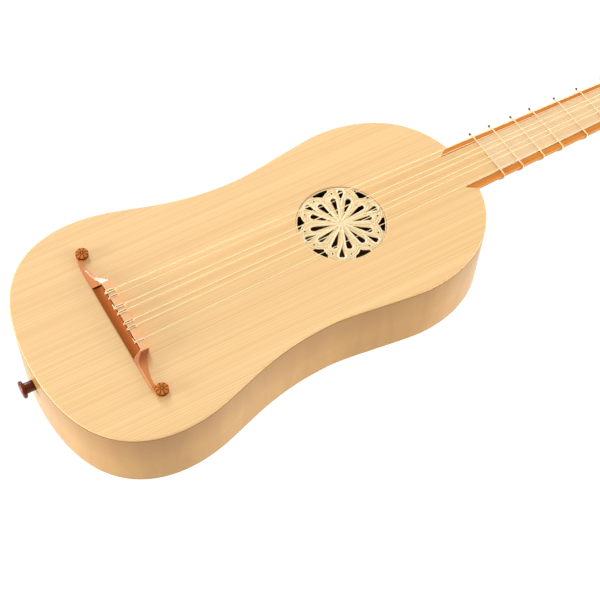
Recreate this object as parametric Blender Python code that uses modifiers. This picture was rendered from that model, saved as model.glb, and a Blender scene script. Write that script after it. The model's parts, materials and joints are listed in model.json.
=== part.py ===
"""Renaissance guitar with four courses of gut strings, built as its maker builds it.

The frame is metres, +Z up. The guitar lies on its flat back: Z = 0 is the outer face of the back.
X = 0 is the bridge's front edge, where the strings leave it, and +X runs to the head.
Y = 0 is the centre line, and +Y is the bass side.
"""

import math

import bmesh
import bpy
from mathutils import Matrix, Vector
from mathutils.geometry import interpolate_bezier

MM = 0.001

# Clearances
GLUE = 0.3 * MM                    # glue line or air between two pieces that touch
WINDING_GAP = 0.45 * MM            # air between two turns of a string on its peg

# Fineness of round shapes
OUTLINE_STEPS = 10                 # along each of the four curves of the body's half plan
CIRCLE_STEPS = 48
CURVE_STEPS = 6
HOLE_STEPS = 8
RIM_STEPS = 3

# Body
BODY_LENGTH = 380 * MM
BODY_DEPTH = 63 * MM
JOINT_FRET = 10                    # the body ends near this fret's place
JOINT_BELOW_FRET = 4.07 * MM
LOWER_BOUT_WIDTH = 201.6 * MM
LOWER_BOUT_FROM_TAIL = 77.5 * MM
WAIST_WIDTH = 152.4 * MM
WAIST_FROM_TAIL = 210 * MM
UPPER_BOUT_WIDTH = 171.8 * MM
UPPER_BOUT_FROM_TAIL = 291.6 * MM
TAIL_FULLNESS = 90 * MM            # reach of the curve's handles, where the plan turns
LOWER_BOUT_TO_TAIL = 26.5 * MM
LOWER_BOUT_TO_WAIST = 42.5 * MM
WAIST_TO_LOWER_BOUT = 68 * MM
WAIST_TO_UPPER_BOUT = 17.5 * MM
UPPER_BOUT_TO_WAIST = 16 * MM
UPPER_BOUT_TO_NECK = 47 * MM
NECK_END_FULLNESS = 58.5 * MM

# Plates, ribs and what stiffens them
SOUNDBOARD_THICKNESS = 2.0 * MM
BACK_THICKNESS = 2.2 * MM
RIB_THICKNESS = 1.8 * MM
LINING_WIDTH = 5 * MM
LINING_HEIGHT = 6 * MM
TAIL_BLOCK_WIDTH = 44 * MM
TAIL_BLOCK_DEPTH = 14 * MM
NECK_BLOCK_WIDTH = 48 * MM
NECK_BLOCK_DEPTH = 20 * MM
BAR_WIDTH = 6 * MM
BAR_TIP_HEIGHT = 4 * MM
BAR_SCALLOP = 25 * MM
SOUNDBOARD_BAR_HEIGHT = 12 * MM
BACK_BAR_HEIGHT = 8 * MM
BAR_FROM_ROSE = 46 * MM            # rose centre to the bar on either side of it
LOWEST_BAR_FROM_TAIL = 143 * MM
BACK_BARS_FROM_TAIL = (57 * MM, 177 * MM, 295 * MM)

# Rose
ROSE_FROM_TAIL = 263.4 * MM
ROSE_HOLE_DIAMETER = 71.6 * MM
ROSE_THICKNESS = 1.5 * MM
ROSE_RING_WIDTH = 7 * MM
ROSE_RING_THICKNESS = 2 * MM
ROSE_LIP = 1.6 * MM                # how far the ring reaches in under the rose
ROSE_LOBES = 6
ROSE_RIM = 1.2 * MM                # plain wood outside the corner openings
LOBE_RADIUS = 14.6 * MM
LOBE_CENTRE = 20.0 * MM
LOBE_RIB = 0.5 * MM                # wood between a lobe and a corner opening
CORNER_HALF_ANGLE = math.radians(8.5)
PETAL_TIP = 9.5 * MM               # long tear-shaped openings, two in each lobe
PETAL_END = 23.2 * MM
PETAL_END_RADIUS = 1.75 * MM
TEAR_TIP = 22.9 * MM               # short tear-shaped opening in the crown of each lobe
TEAR_END = 31.0 * MM
TEAR_END_RADIUS = 1.75 * MM
EYE_DISTANCE = 29.8 * MM           # two round holes beside the short opening
EYE_ANGLE = math.radians(14.2)
EYE_RADIUS = 0.8 * MM

# Neck, fingerboard and strips
SCALE_LENGTH = 540 * MM
NECK_WIDTH_BODY = 46 * MM
NECK_WIDTH_NUT = 36.6 * MM
NECK_DEPTH_BODY = 16.5 * MM
NECK_DEPTH_NUT = 13.5 * MM
HEEL_FOOT = 4 * MM                 # length of the heel along the neck at the back
HEEL_LENGTH = 11 * MM
HEEL_WIDTH = 0.62                  # the keel's width as a share of the neck's
HEEL_CLEARANCE = 2.5 * MM          # heel's foot above the face that the guitar lies on
HEEL_STEPS = 8
NECK_SQUARING = 22 * MM            # stretch where the round neck turns into the square head
SQUARING_STEPS = 4
STRIP_WIDTH = 5.3 * MM
STRIP_MITRE = 7.2 * MM
TONGUE_FRET = 9                    # the soundboard runs up the neck to this fret
NUT_THICKNESS = 4 * MM
NUT_SHELF = 2 * MM                 # neck behind the nut
NUT_ACTION = 1.8 * MM              # string's centre above the fingerboard at the nut
NUT_LIP = 0.2 * MM                 # nut above the strings' centres
NUT_SLOT_OVERLAP = 0.3 * MM        # the two runs of a slot cross by this under the string's bend
SECTION_STEPS = 12

# Frets
FRET_PUSHED = (0, 0, 0, 0, 1.0 * MM, -1.4 * MM, 1.0 * MM, 0, 0.4 * MM)   # off equal semitones
FRET_DIAMETER = 0.9 * MM
FRET_KNOT_RADIUS = 1.3 * MM
FRET_KNOT_DROP = 1.4 * MM
FRET_STEPS = 10

# Head and pegs
HEAD_TILT = math.radians(10)
HEAD_THICKNESS = 11 * MM
HEAD_LENGTH = 144 * MM
HEAD_SHOULDER_WIDTH = 57 * MM
HEAD_SHOULDER_FROM_NECK = 21 * MM
HEAD_TOP_WIDTH = 66 * MM
HEAD_CREST_LENGTH = 26 * MM
HEAD_CREST_WIDTH = 28 * MM
PEG_FIRST = 34 * MM
PEG_SPACING = 30 * MM
PEG_FIRST_OUT = 21.5 * MM
PEG_SPREAD = 1.5 * MM              # each pair of pegs stands this much further out
PEG_LAST = 118 * MM
PEG_TIP_RADIUS = 3.4 * MM
PEG_TAPER = 1 / 25
PEG_CLEARANCE = 0.3 * MM
PEG_PROUD = 12 * MM
PEG_NECK_LENGTH = 4 * MM
PEG_COLLAR_RADIUS = 5.4 * MM
PEG_COLLAR_LENGTH = 2.4 * MM
PEG_LEAF_WIDTH = 16 * MM
PEG_LEAF_END_WIDTH = 10 * MM
PEG_LEAF_LENGTH = 15 * MM
PEG_LEAF_THICKNESS = 4.6 * MM
PEG_LEAF_HOLLOW = 1.0 * MM         # dip in the leaf's end
PEG_LEAF_SHOULDER = 2 * MM
PEG_LEAF_CHEEK = 5 * MM
PEG_TIP_ROUND = 0.9 * MM
PEG_ROOT_RADIUS = 2.7 * MM
PEG_STEPS = 14
PEG_EYE_HEIGHT = 7.7 * MM
PEG_EYE_RADIUS = 0.8 * MM

# Strings, from the bass side to the treble side
STRING_DIAMETERS = (0.95 * MM, 0.5 * MM, 0.78 * MM, 0.74 * MM, 0.64 * MM, 0.6 * MM, 0.52 * MM)
STRING_COURSES = (3, 3, 2, 2, 1, 1, 0)
STRING_SIDES = (1, -1, 1, -1, 1, -1, 0)
FIRST_COURSE_AT_BRIDGE = -23.8 * MM
COURSE_PITCH_AT_BRIDGE = 15.4 * MM
PAIR_HALF_AT_BRIDGE = 2.7 * MM
FIRST_COURSE_AT_NUT = -13.6 * MM
COURSE_PITCH_AT_NUT = 9.2 * MM
PAIR_HALF_AT_NUT = 1.9 * MM
WRAP_HEIGHT = 3.6 * MM             # fixed turn above the face of the head
WRAP_ANGLE = math.radians(280)
WINDING_LEAD = math.radians(300)
WINDING_CORNER = 0.4 * MM          # where the last turn bends into the peg's eye
TURN_STEPS = 16

# Bridge
BRIDGE_HEIGHT = 6.5 * MM
BRIDGE_DEPTH = 13 * MM
BRIDGE_TOP_WIDTH = 6 * MM
BLOCK_HALF_LENGTH = 33.5 * MM
SCOOP_HALF_LENGTH = 32.3 * MM
SCOOP_RADIUS = 9 * MM
SCOOP_FOOT = 0.9 * MM
WING_END = 62 * MM
WING_WAIST = 50 * MM
WING_WIDTH = 4.5 * MM
WING_FLARE = 1.2 * MM              # a wing widens by this towards its flower
WING_HEIGHT = 3.0 * MM
WING_ROOT_REACH = 4 * MM           # handles of the curves that lead from the block to the wing
WING_WAIST_REACH = 9 * MM
WING_FALL_REACH = 6 * MM
WING_EASE = 1.0 * MM
FLOWER_NECK = 2.4 * MM             # how far a wing reaches in under its flower
FLOWER_OUT = 67 * MM
FLOWER_FROM_FRONT = 6.6 * MM
FLOWER_RADIUS = 5.0 * MM
FLOWER_HEIGHT = 4.2 * MM
FLOWER_DOME = 0.7 * MM
STRING_HOLE_HEIGHT = 3.2 * MM
STRING_HOLE_RADIUS = 0.8 * MM
CUT_OVER = 2 * MM                  # how far a cutter runs out of the wood

# Knots on the bridge
KNOT_AIR = 0.25 * MM               # between the strands and the string that they hold
KNOT_OUT = 1.6 * MM                # a strand runs out this far behind the top
KNOT_DIP = 0.15 * MM
KNOT_END = 0.8 * MM                # free end beyond it, and how far that drops
KNOT_END_DROP = 1.65 * MM
KNOT_MOUTH_BEND = 1.25 * MM        # bend behind the hole
KNOT_RISE = 0.7 * MM               # bend in front of the hole
KNOT_HOOK_DROP = 0.3 * MM
KNOT_LEAVE = 0.6 * MM              # where the string leaves its knot

# End button
BUTTON_HEIGHT = 34.6 * MM
BUTTON_STEM_RADIUS = 4.3 * MM
BUTTON_STEM_LENGTH = 7.1 * MM
BUTTON_HEAD_RADIUS = 7.2 * MM
BUTTON_HEAD_THICKNESS = 3.3 * MM
BUTTON_PIN_RADIUS = 3.3 * MM
BUTTON_PIN_LENGTH = 13 * MM
BUTTON_STEPS = 20

# Heights and places that follow from the sizes above
JOINT_X = SCALE_LENGTH * 2 ** (-JOINT_FRET / 12) - JOINT_BELOW_FRET
TAIL_X = JOINT_X - BODY_LENGTH
ROSE_X = TAIL_X + ROSE_FROM_TAIL
SOUNDBOARD_BOTTOM = BODY_DEPTH - SOUNDBOARD_THICKNESS
RIB_TOP = SOUNDBOARD_BOTTOM - GLUE
RIB_BOTTOM = BACK_THICKNESS + GLUE
BRIDGE_FOOT = BODY_DEPTH + GLUE
NUT_END = SCALE_LENGTH + NUT_THICKNESS
NECK_END = NUT_END + NUT_SHELF
STRING_COUNT = len(STRING_DIAMETERS)
TILT = Matrix.Rotation(HEAD_TILT, 4, "Y")
HEAD_FRAME = Matrix.Translation((NECK_END + GLUE, 0, RIB_TOP)) @ TILT

MESH_WELD = 0.002 * MM


# Scene and small helpers

def clear_scene():
    for old in list(bpy.data.objects):
        bpy.data.objects.remove(old, do_unlink=True)


def new_collection(name):
    collection = bpy.data.collections.new(name)
    bpy.context.scene.collection.children.link(collection)
    return collection


def linear(channel):
    return channel / 12.92 if channel <= 0.04045 else ((channel + 0.055) / 1.055) ** 2.4


def material(name, colour, roughness, metallic=0.0):
    made = bpy.data.materials.new(name)
    made.use_nodes = True
    shader = made.node_tree.nodes["Principled BSDF"]
    channels = [linear(int(colour[i:i + 2], 16) / 255) for i in (0, 2, 4)]
    shader.inputs["Base Color"].default_value = (*channels, 1.0)
    shader.inputs["Roughness"].default_value = roughness
    shader.inputs["Metallic"].default_value = metallic
    return made


def keep(obj, finish):
    """Puts a finished piece in the guitar's collection with its own material."""
    for collection in list(obj.users_collection):
        collection.objects.unlink(obj)
    GUITAR.objects.link(obj)
    obj.data.materials.clear()
    obj.data.materials.append(finish)
    return obj


def as_cutter(obj):
    for collection in list(obj.users_collection):
        collection.objects.unlink(obj)
    CUTTERS.objects.link(obj)
    obj.hide_render = True
    obj.display_type = "WIRE"
    return obj


def boolean(obj, other, operation="DIFFERENCE"):
    modifier = obj.modifiers.new(operation.title(), "BOOLEAN")
    modifier.operation = operation
    modifier.object = other


def evaluated_mesh(obj):
    bpy.context.view_layer.update()
    seen = obj.evaluated_get(bpy.context.evaluated_depsgraph_get())
    return bpy.data.meshes.new_from_object(seen)


def object_from_bmesh(name, shape):
    mesh = bpy.data.meshes.new(name)
    shape.to_mesh(mesh)
    shape.free()
    obj = bpy.data.objects.new(name, mesh)
    CUTTERS.objects.link(obj)
    return obj


def solid_from_curve(curve):
    """Turns a curve into a welded mesh object of the same name and place."""
    name = curve.name
    mesh = evaluated_mesh(curve)
    shape = bmesh.new()
    shape.from_mesh(mesh)
    bmesh.ops.remove_doubles(shape, verts=shape.verts, dist=MESH_WELD)
    bmesh.ops.recalc_face_normals(shape, faces=shape.faces)
    shape.to_mesh(mesh)
    shape.free()
    matrix = curve.matrix_world.copy()
    bpy.data.objects.remove(curve, do_unlink=True)
    obj = bpy.data.objects.new(name, mesh)
    CUTTERS.objects.link(obj)
    obj.matrix_world = matrix
    return obj


PLANES = {
    "XY": Matrix.Identity(4),
    "YZ": Matrix(((0, 0, 1, 0), (1, 0, 0, 0), (0, 1, 0, 0), (0, 0, 0, 1))),
    "XZ": Matrix(((1, 0, 0, 0), (0, 0, -1, 0), (0, 1, 0, 0), (0, 0, 0, 1))),
}


def prism(name, loops, low, high, plane="XY"):
    """Sawn board: closed outlines, holes among them, between two heights of the plane's third axis."""
    data = bpy.data.curves.new(name, "CURVE")
    data.dimensions = "2D"
    data.fill_mode = "BOTH"
    data.extrude = (high - low) / 2
    for loop in loops:
        spline = data.splines.new("POLY")
        spline.points.add(len(loop) - 1)
        spline.use_cyclic_u = True
        for point, place in zip(spline.points, loop):
            point.co = (place[0], place[1], 0, 1)
    curve = bpy.data.objects.new(name, data)
    CUTTERS.objects.link(curve)
    middle = (low + high) / 2
    curve.matrix_world = PLANES[plane] @ Matrix.Translation((0, 0, middle if plane != "XZ" else -middle))
    return solid_from_curve(curve)


def rod(name, start, end, radius, steps=12, end_radius=None):
    """Round bar, or a cone, between two points."""
    start, end = Vector(start), Vector(end)
    along = end - start
    turn = Vector((0, 0, 1)).rotation_difference(along).to_matrix().to_4x4()
    shape = bmesh.new()
    bmesh.ops.create_cone(
        shape, cap_ends=True, segments=steps, radius1=radius,
        radius2=radius if end_radius is None else end_radius, depth=along.length,
        matrix=Matrix.Translation((start + end) / 2) @ turn)
    return object_from_bmesh(name, shape)


def turned(name, profile, steps):
    """Lathe work: a profile of radius and height, from top to bottom, turned about Z."""
    shape = bmesh.new()
    verts = [shape.verts.new((radius, 0, height)) for radius, height in profile]
    for first, second in zip(verts, verts[1:]):
        shape.edges.new((first, second))
    obj = object_from_bmesh(name, shape)
    screw = obj.modifiers.new("Lathe", "SCREW")
    screw.steps = steps
    screw.render_steps = steps
    screw.use_merge_vertices = True
    screw.merge_threshold = MESH_WELD
    return obj


def round_rim(radius, high, low):
    """Half-round rim of a turned disc, as points of radius and height from its high side down."""
    rim = (high - low) / 2
    turns = [math.pi / 2 - math.pi * i / RIM_STEPS for i in range(RIM_STEPS + 1)]
    return [(radius - rim + rim * math.cos(turn), high - rim + rim * math.sin(turn)) for turn in turns]


def tube(name, route, diameter, cyclic=False):
    """Round cord along a route of points."""
    data = bpy.data.curves.new(name, "CURVE")
    data.dimensions = "3D"
    data.bevel_depth = diameter / 2
    data.bevel_resolution = 1
    data.use_fill_caps = not cyclic
    spline = data.splines.new("POLY")
    spline.points.add(len(route) - 1)
    spline.use_cyclic_u = cyclic
    for point, place in zip(spline.points, route):
        point.co = (*place, 1)
    obj = bpy.data.objects.new(name, data)
    CUTTERS.objects.link(obj)
    return obj


def bezier(start, start_handle, end_handle, end, steps):
    """Points of one smooth curve, without its last one."""
    ends = [Vector(start), Vector(start_handle), Vector(end_handle), Vector(end)]
    return interpolate_bezier(*ends, steps + 1)[:-1]


def mirrored(half, flip=(1, -1)):
    """Closed outline from one half, whose first and last points lie on the line of symmetry."""
    return [tuple(p) for p in half] + [(p[0] * flip[0], p[1] * flip[1]) for p in reversed(half[1:-1])]


# Plan of the body and of the neck

def half_outline(inset=0.0):
    """Bass half of the body's plan from the tail to the neck, moved in by inset."""
    tail = Vector((TAIL_X, 0))
    lower = Vector((TAIL_X + LOWER_BOUT_FROM_TAIL, LOWER_BOUT_WIDTH / 2))
    waist = Vector((TAIL_X + WAIST_FROM_TAIL, WAIST_WIDTH / 2))
    upper = Vector((TAIL_X + UPPER_BOUT_FROM_TAIL, UPPER_BOUT_WIDTH / 2))
    neck = Vector((JOINT_X, 0))
    along = Vector((1, 0))
    out = Vector((0, 1))
    points = bezier(tail, tail + out * TAIL_FULLNESS,
                    lower - along * LOWER_BOUT_TO_TAIL, lower, OUTLINE_STEPS)
    points += bezier(lower, lower + along * LOWER_BOUT_TO_WAIST,
                     waist - along * WAIST_TO_LOWER_BOUT, waist, OUTLINE_STEPS)
    points += bezier(waist, waist + along * WAIST_TO_UPPER_BOUT,
                     upper - along * UPPER_BOUT_TO_WAIST, upper, OUTLINE_STEPS)
    points += bezier(upper, upper + along * UPPER_BOUT_TO_NECK,
                     neck + out * NECK_END_FULLNESS, neck, OUTLINE_STEPS)
    points.append(neck)
    moved = []
    for i, point in enumerate(points):
        if i == 0:
            tangent = out
        elif i == len(points) - 1:
            tangent = -out
        else:
            tangent = (points[i + 1] - points[i - 1]).normalized()
        moved.append(Vector((point.x + inset * tangent.y, point.y - inset * tangent.x)))
    return moved


def between(first, second, y):
    """Point at a distance from the centre line on the line through two points."""
    share = (y - first[1]) / (second[1] - first[1])
    return Vector((first[0] + share * (second[0] - first[0]), y))


def clipped(points, tail_y, neck_y):
    """Part of a half outline that lies further out than tail_y at the tail and neck_y at the neck."""
    first = next(i for i, p in enumerate(points) if p.y > tail_y)
    last = next(i for i in range(len(points) - 1, -1, -1) if points[i].y > neck_y)
    start = between(points[first - 1], points[first], tail_y)
    end = between(points[last], points[last + 1], neck_y)
    return [start] + points[first:last + 1] + [end]


def band(inset, width, tail_y, neck_y):
    """Bent strip that follows the outline, as a closed plan of its bass half."""
    outer = clipped(half_outline(inset), tail_y, neck_y)
    inner = clipped(half_outline(inset + width), tail_y, neck_y)
    return outer + inner[::-1]


def treble_side(loop):
    return [(p[0], -p[1]) for p in reversed(loop)]


def reach_at(x, inset):
    """Half width of the body at x, measured to a line moved in by inset."""
    points = half_outline(inset)
    for first, second in zip(points, points[1:]):
        if first.x <= x <= second.x:
            share = (x - first.x) / (second.x - first.x)
            return first.y + share * (second.y - first.y)
    return 0.0


def neck_half(x):
    share = (x - JOINT_X) / (SCALE_LENGTH - JOINT_X)
    return (NECK_WIDTH_BODY + share * (NECK_WIDTH_NUT - NECK_WIDTH_BODY)) / 2


def strip_inner(x):
    return neck_half(x) - STRIP_WIDTH


def fret_x(number):
    """Distance of a tied fret from the bridge: an equal semitone, then pushed by the player's ear."""
    return SCALE_LENGTH * 2 ** (-number / 12) + FRET_PUSHED[number - 1]


def shoulder():
    """Where the body's plan meets the side of the neck."""
    points = half_outline()
    for first, second in zip(points[::-1], points[-2::-1]):
        if second.y > neck_half(second.x):
            return between(first, second, neck_half(first.x))
    return points[-1]


# Body

def build_soundboard():
    corner = shoulder()
    mitre_run = STRIP_MITRE / STRIP_WIDTH
    notch_x = corner.x - STRIP_MITRE - GLUE - 2 * GLUE * mitre_run
    tongue_x = fret_x(TONGUE_FRET)
    edge = clipped(half_outline(), 0.0, neck_half(corner.x) + GLUE)
    edge += [(notch_x, strip_inner(notch_x) - GLUE),
             (tongue_x, strip_inner(tongue_x) - GLUE),
             (tongue_x, 0)]
    hole = circle_points((ROSE_X, 0), ROSE_HOLE_DIAMETER / 2, CIRCLE_STEPS)
    board = prism("soundboard", [mirrored(edge), hole], SOUNDBOARD_BOTTOM, BODY_DEPTH)
    keep(board, SPRUCE)


def circle_points(centre, radius, steps):
    turn = 2 * math.pi / steps
    return [(centre[0] + radius * math.cos(i * turn), centre[1] + radius * math.sin(i * turn))
            for i in range(steps)]


def polar(radius, angle):
    return (ROSE_X + radius * math.cos(angle), radius * math.sin(angle))


def tear_points(tip, end, end_radius, angle):
    """Tear-shaped opening along a ray of the rose, with its point towards the centre."""
    lean = math.asin(end_radius / (end - tip))
    points = [polar(tip, angle)]
    centre = Vector(polar(end, angle))
    for i in range(CURVE_STEPS + 1):
        turn = angle - (math.pi / 2 + lean) + (math.pi + 2 * lean) * i / CURVE_STEPS
        points.append(tuple(centre + end_radius * Vector((math.cos(turn), math.sin(turn)))))
    return points


def corner_opening(angle):
    """Opening at the rim between two lobes: a curved triangle that follows both of them."""
    outer = ROSE_HOLE_DIAMETER / 2 - GLUE - ROSE_RIM
    points = [polar(outer, angle + CORNER_HALF_ANGLE * s) for s in (-1, -0.5, 0, 0.5, 1)]
    reach = LOBE_RADIUS + LOBE_RIB
    half_turn = math.pi / ROSE_LOBES
    tip = LOBE_CENTRE * math.cos(half_turn)
    tip += math.sqrt(reach ** 2 - (LOBE_CENTRE * math.sin(half_turn)) ** 2)
    sides = []
    for lobe in (angle + half_turn, angle - half_turn):
        centre = Vector(polar(LOBE_CENTRE, lobe))
        start = Vector(points[4] if lobe > angle else points[0]) - centre
        end = Vector(polar(tip, angle)) - centre
        middle = (start.normalized() + end.normalized()).normalized() * reach
        sides.append(tuple(centre + middle))
    return points + [sides[0], polar(tip, angle), sides[1]]


def build_rose():
    lobe_turn = 2 * math.pi / ROSE_LOBES
    loops = [circle_points((ROSE_X, 0), ROSE_HOLE_DIAMETER / 2 - GLUE, CIRCLE_STEPS)]
    for lobe in range(ROSE_LOBES):
        axis = lobe * lobe_turn
        for side in (-1, 1):
            loops.append(tear_points(PETAL_TIP, PETAL_END, PETAL_END_RADIUS, axis + side * lobe_turn / 4))
            loops.append(circle_points(polar(EYE_DISTANCE, axis + side * EYE_ANGLE), EYE_RADIUS, HOLE_STEPS))
        loops.append(tear_points(TEAR_TIP, TEAR_END, TEAR_END_RADIUS, axis))
        loops.append(corner_opening(axis + lobe_turn / 2))
    rose = prism("rose_tracery", loops, SOUNDBOARD_BOTTOM, SOUNDBOARD_BOTTOM + ROSE_THICKNESS)
    keep(rose, ROSE_WOOD)
    inner = ROSE_HOLE_DIAMETER / 2 - GLUE - ROSE_LIP
    rings = [circle_points((ROSE_X, 0), reach, CIRCLE_STEPS) for reach in (inner + ROSE_RING_WIDTH, inner)]
    ring = prism("rose_ring", rings, RIB_TOP - ROSE_RING_THICKNESS, RIB_TOP)
    keep(ring, INNER_SPRUCE)


def build_back():
    board = prism("back", [mirrored(half_outline())], 0.0, BACK_THICKNESS)
    keep(board, SYCAMORE)


def build_ribs():
    plan = band(0.0, RIB_THICKNESS, GLUE / 2, GLUE / 2)
    hole = rod("button_hole", (TAIL_X - BUTTON_STEM_LENGTH, 0, BUTTON_HEIGHT),
               (TAIL_X + TAIL_BLOCK_DEPTH + BUTTON_PIN_LENGTH, 0, BUTTON_HEIGHT),
               BUTTON_PIN_RADIUS + GLUE, BUTTON_STEPS)
    as_cutter(hole)
    for name, loop in (("rib_bass", plan), ("rib_treble", treble_side(plan))):
        rib = prism(name, [loop], RIB_BOTTOM, RIB_TOP)
        boolean(rib, hole)
        keep(rib, SYCAMORE)
    return hole


def build_blocks(button_hole):
    inset = RIB_THICKNESS + GLUE
    wall = half_outline(inset)
    tail_half = TAIL_BLOCK_WIDTH / 2
    inner_x = wall[0].x + TAIL_BLOCK_DEPTH
    first = next(i for i, p in enumerate(wall) if p.y > tail_half)
    corner = between(wall[first - 1], wall[first], tail_half)
    half = [(inner_x, 0), (inner_x, tail_half), corner] + wall[first - 1::-1]
    block = prism("tail_block", [mirrored(half)], RIB_BOTTOM, RIB_TOP)
    boolean(block, button_hole)
    keep(block, INNER_WOOD)
    neck_block_half = NECK_BLOCK_WIDTH / 2
    inner_x = wall[-1].x - NECK_BLOCK_DEPTH
    last = next(i for i in range(len(wall) - 1, -1, -1) if wall[i].y > neck_block_half)
    corner = between(wall[last], wall[last + 1], neck_block_half)
    half = [(inner_x, 0), (inner_x, neck_block_half), corner] + wall[last + 1:]
    keep(prism("neck_block", [mirrored(half)], RIB_BOTTOM, RIB_TOP), INNER_WOOD)


def build_linings():
    plan = band(RIB_THICKNESS + GLUE, LINING_WIDTH,
                TAIL_BLOCK_WIDTH / 2 + GLUE, NECK_BLOCK_WIDTH / 2 + GLUE)
    levels = (("top", RIB_TOP - LINING_HEIGHT, RIB_TOP), ("back", RIB_BOTTOM, RIB_BOTTOM + LINING_HEIGHT))
    for level, low, high in levels:
        for side, loop in (("bass", plan), ("treble", treble_side(plan))):
            keep(prism(f"{level}_lining_{side}", [loop], low, high), INNER_WOOD)


def bar_profile(reach, seat, height, up):
    """Cross bar seen from the tail: full height in the middle, thinned to its tips."""
    sign = 1 if up else -1
    ridge = seat + sign * height
    tip = seat + sign * BAR_TIP_HEIGHT
    return [(-reach, seat), (reach, seat), (reach, tip), (reach - BAR_SCALLOP, ridge),
            (BAR_SCALLOP - reach, ridge), (-reach, tip)]


def build_bars():
    inset = RIB_THICKNESS + LINING_WIDTH + 2 * GLUE
    places = [("soundboard_bar_lower", TAIL_X + LOWEST_BAR_FROM_TAIL),
              ("soundboard_bar_middle", ROSE_X - BAR_FROM_ROSE),
              ("soundboard_bar_upper", ROSE_X + BAR_FROM_ROSE)]
    for name, distance in zip(("lower", "middle", "upper"), BACK_BARS_FROM_TAIL):
        places.append((f"back_bar_{name}", TAIL_X + distance))
    for name, x in places:
        reach = min(reach_at(x - BAR_WIDTH / 2, inset), reach_at(x + BAR_WIDTH / 2, inset))
        if name.startswith("back"):
            profile = bar_profile(reach, RIB_BOTTOM, BACK_BAR_HEIGHT, True)
        else:
            profile = bar_profile(reach, RIB_TOP, SOUNDBOARD_BAR_HEIGHT, False)
        keep(prism(name, [profile], x - BAR_WIDTH / 2, x + BAR_WIDTH / 2, "YZ"), INNER_SPRUCE)


def build_end_button():
    """Turned pin: a round head, a stem outside the rib and a thinner pin in the tail block."""
    head_edge = BUTTON_STEM_LENGTH + BUTTON_HEAD_THICKNESS
    profile = [(0, head_edge)] + round_rim(BUTTON_HEAD_RADIUS, head_edge, BUTTON_STEM_LENGTH)
    profile += [(BUTTON_STEM_RADIUS, BUTTON_STEM_LENGTH), (BUTTON_STEM_RADIUS, GLUE),
                (BUTTON_PIN_RADIUS, GLUE), (BUTTON_PIN_RADIUS, GLUE - BUTTON_PIN_LENGTH),
                (0, GLUE - BUTTON_PIN_LENGTH)]
    button = turned("end_button", profile, BUTTON_STEPS)
    button.location = (TAIL_X, 0, BUTTON_HEIGHT)
    button.rotation_euler = (0, -math.pi / 2, 0)
    keep(button, PLUM)


# Bridge

def scoop_centre():
    """Centre of the hollow's arc, as X and height above the bridge's foot."""
    first = Vector((-BRIDGE_DEPTH, SCOOP_FOOT))
    second = Vector((-BRIDGE_TOP_WIDTH, BRIDGE_HEIGHT))
    half = (second - first) / 2
    rise = math.sqrt(SCOOP_RADIUS ** 2 - half.length_squared)
    return first + half + Vector((-half.y, half.x)).normalized() * rise


def scoop_face(height):
    """X of the hollow's surface at a height above the bridge's foot."""
    centre = scoop_centre()
    return centre.x + math.sqrt(SCOOP_RADIUS ** 2 - (height - centre.y) ** 2)


def bridge_plan():
    """Bass half of the bridge's plan, from the middle of its front to the middle of its tail side."""
    waist_x = WING_WIDTH - BRIDGE_DEPTH
    end_x = waist_x + WING_FLARE
    root = (0, BLOCK_HALF_LENGTH)
    waist = (waist_x, WING_WAIST)
    front = bezier(root, (-WING_EASE, BLOCK_HALF_LENGTH + WING_ROOT_REACH),
                   (waist_x + WING_EASE, WING_WAIST - WING_WAIST_REACH), waist, CURVE_STEPS)
    front += bezier(waist, (waist_x - WING_EASE / 2, WING_WAIST + WING_ROOT_REACH),
                    (waist_x, WING_END - WING_ROOT_REACH), (end_x, WING_END), RIM_STEPS)
    neck_y = FLOWER_OUT - FLOWER_NECK
    tail = [(-FLOWER_FROM_FRONT, neck_y), (-FLOWER_FROM_FRONT - FLOWER_RADIUS + WING_FLARE, neck_y),
            (-BRIDGE_DEPTH + WING_EASE / 2, WING_END - WING_ROOT_REACH),
            (-BRIDGE_DEPTH, WING_WAIST - WING_ROOT_REACH)]
    return [(0, 0)] + [tuple(p) for p in front] + tail + [(-BRIDGE_DEPTH, 0)]


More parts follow.
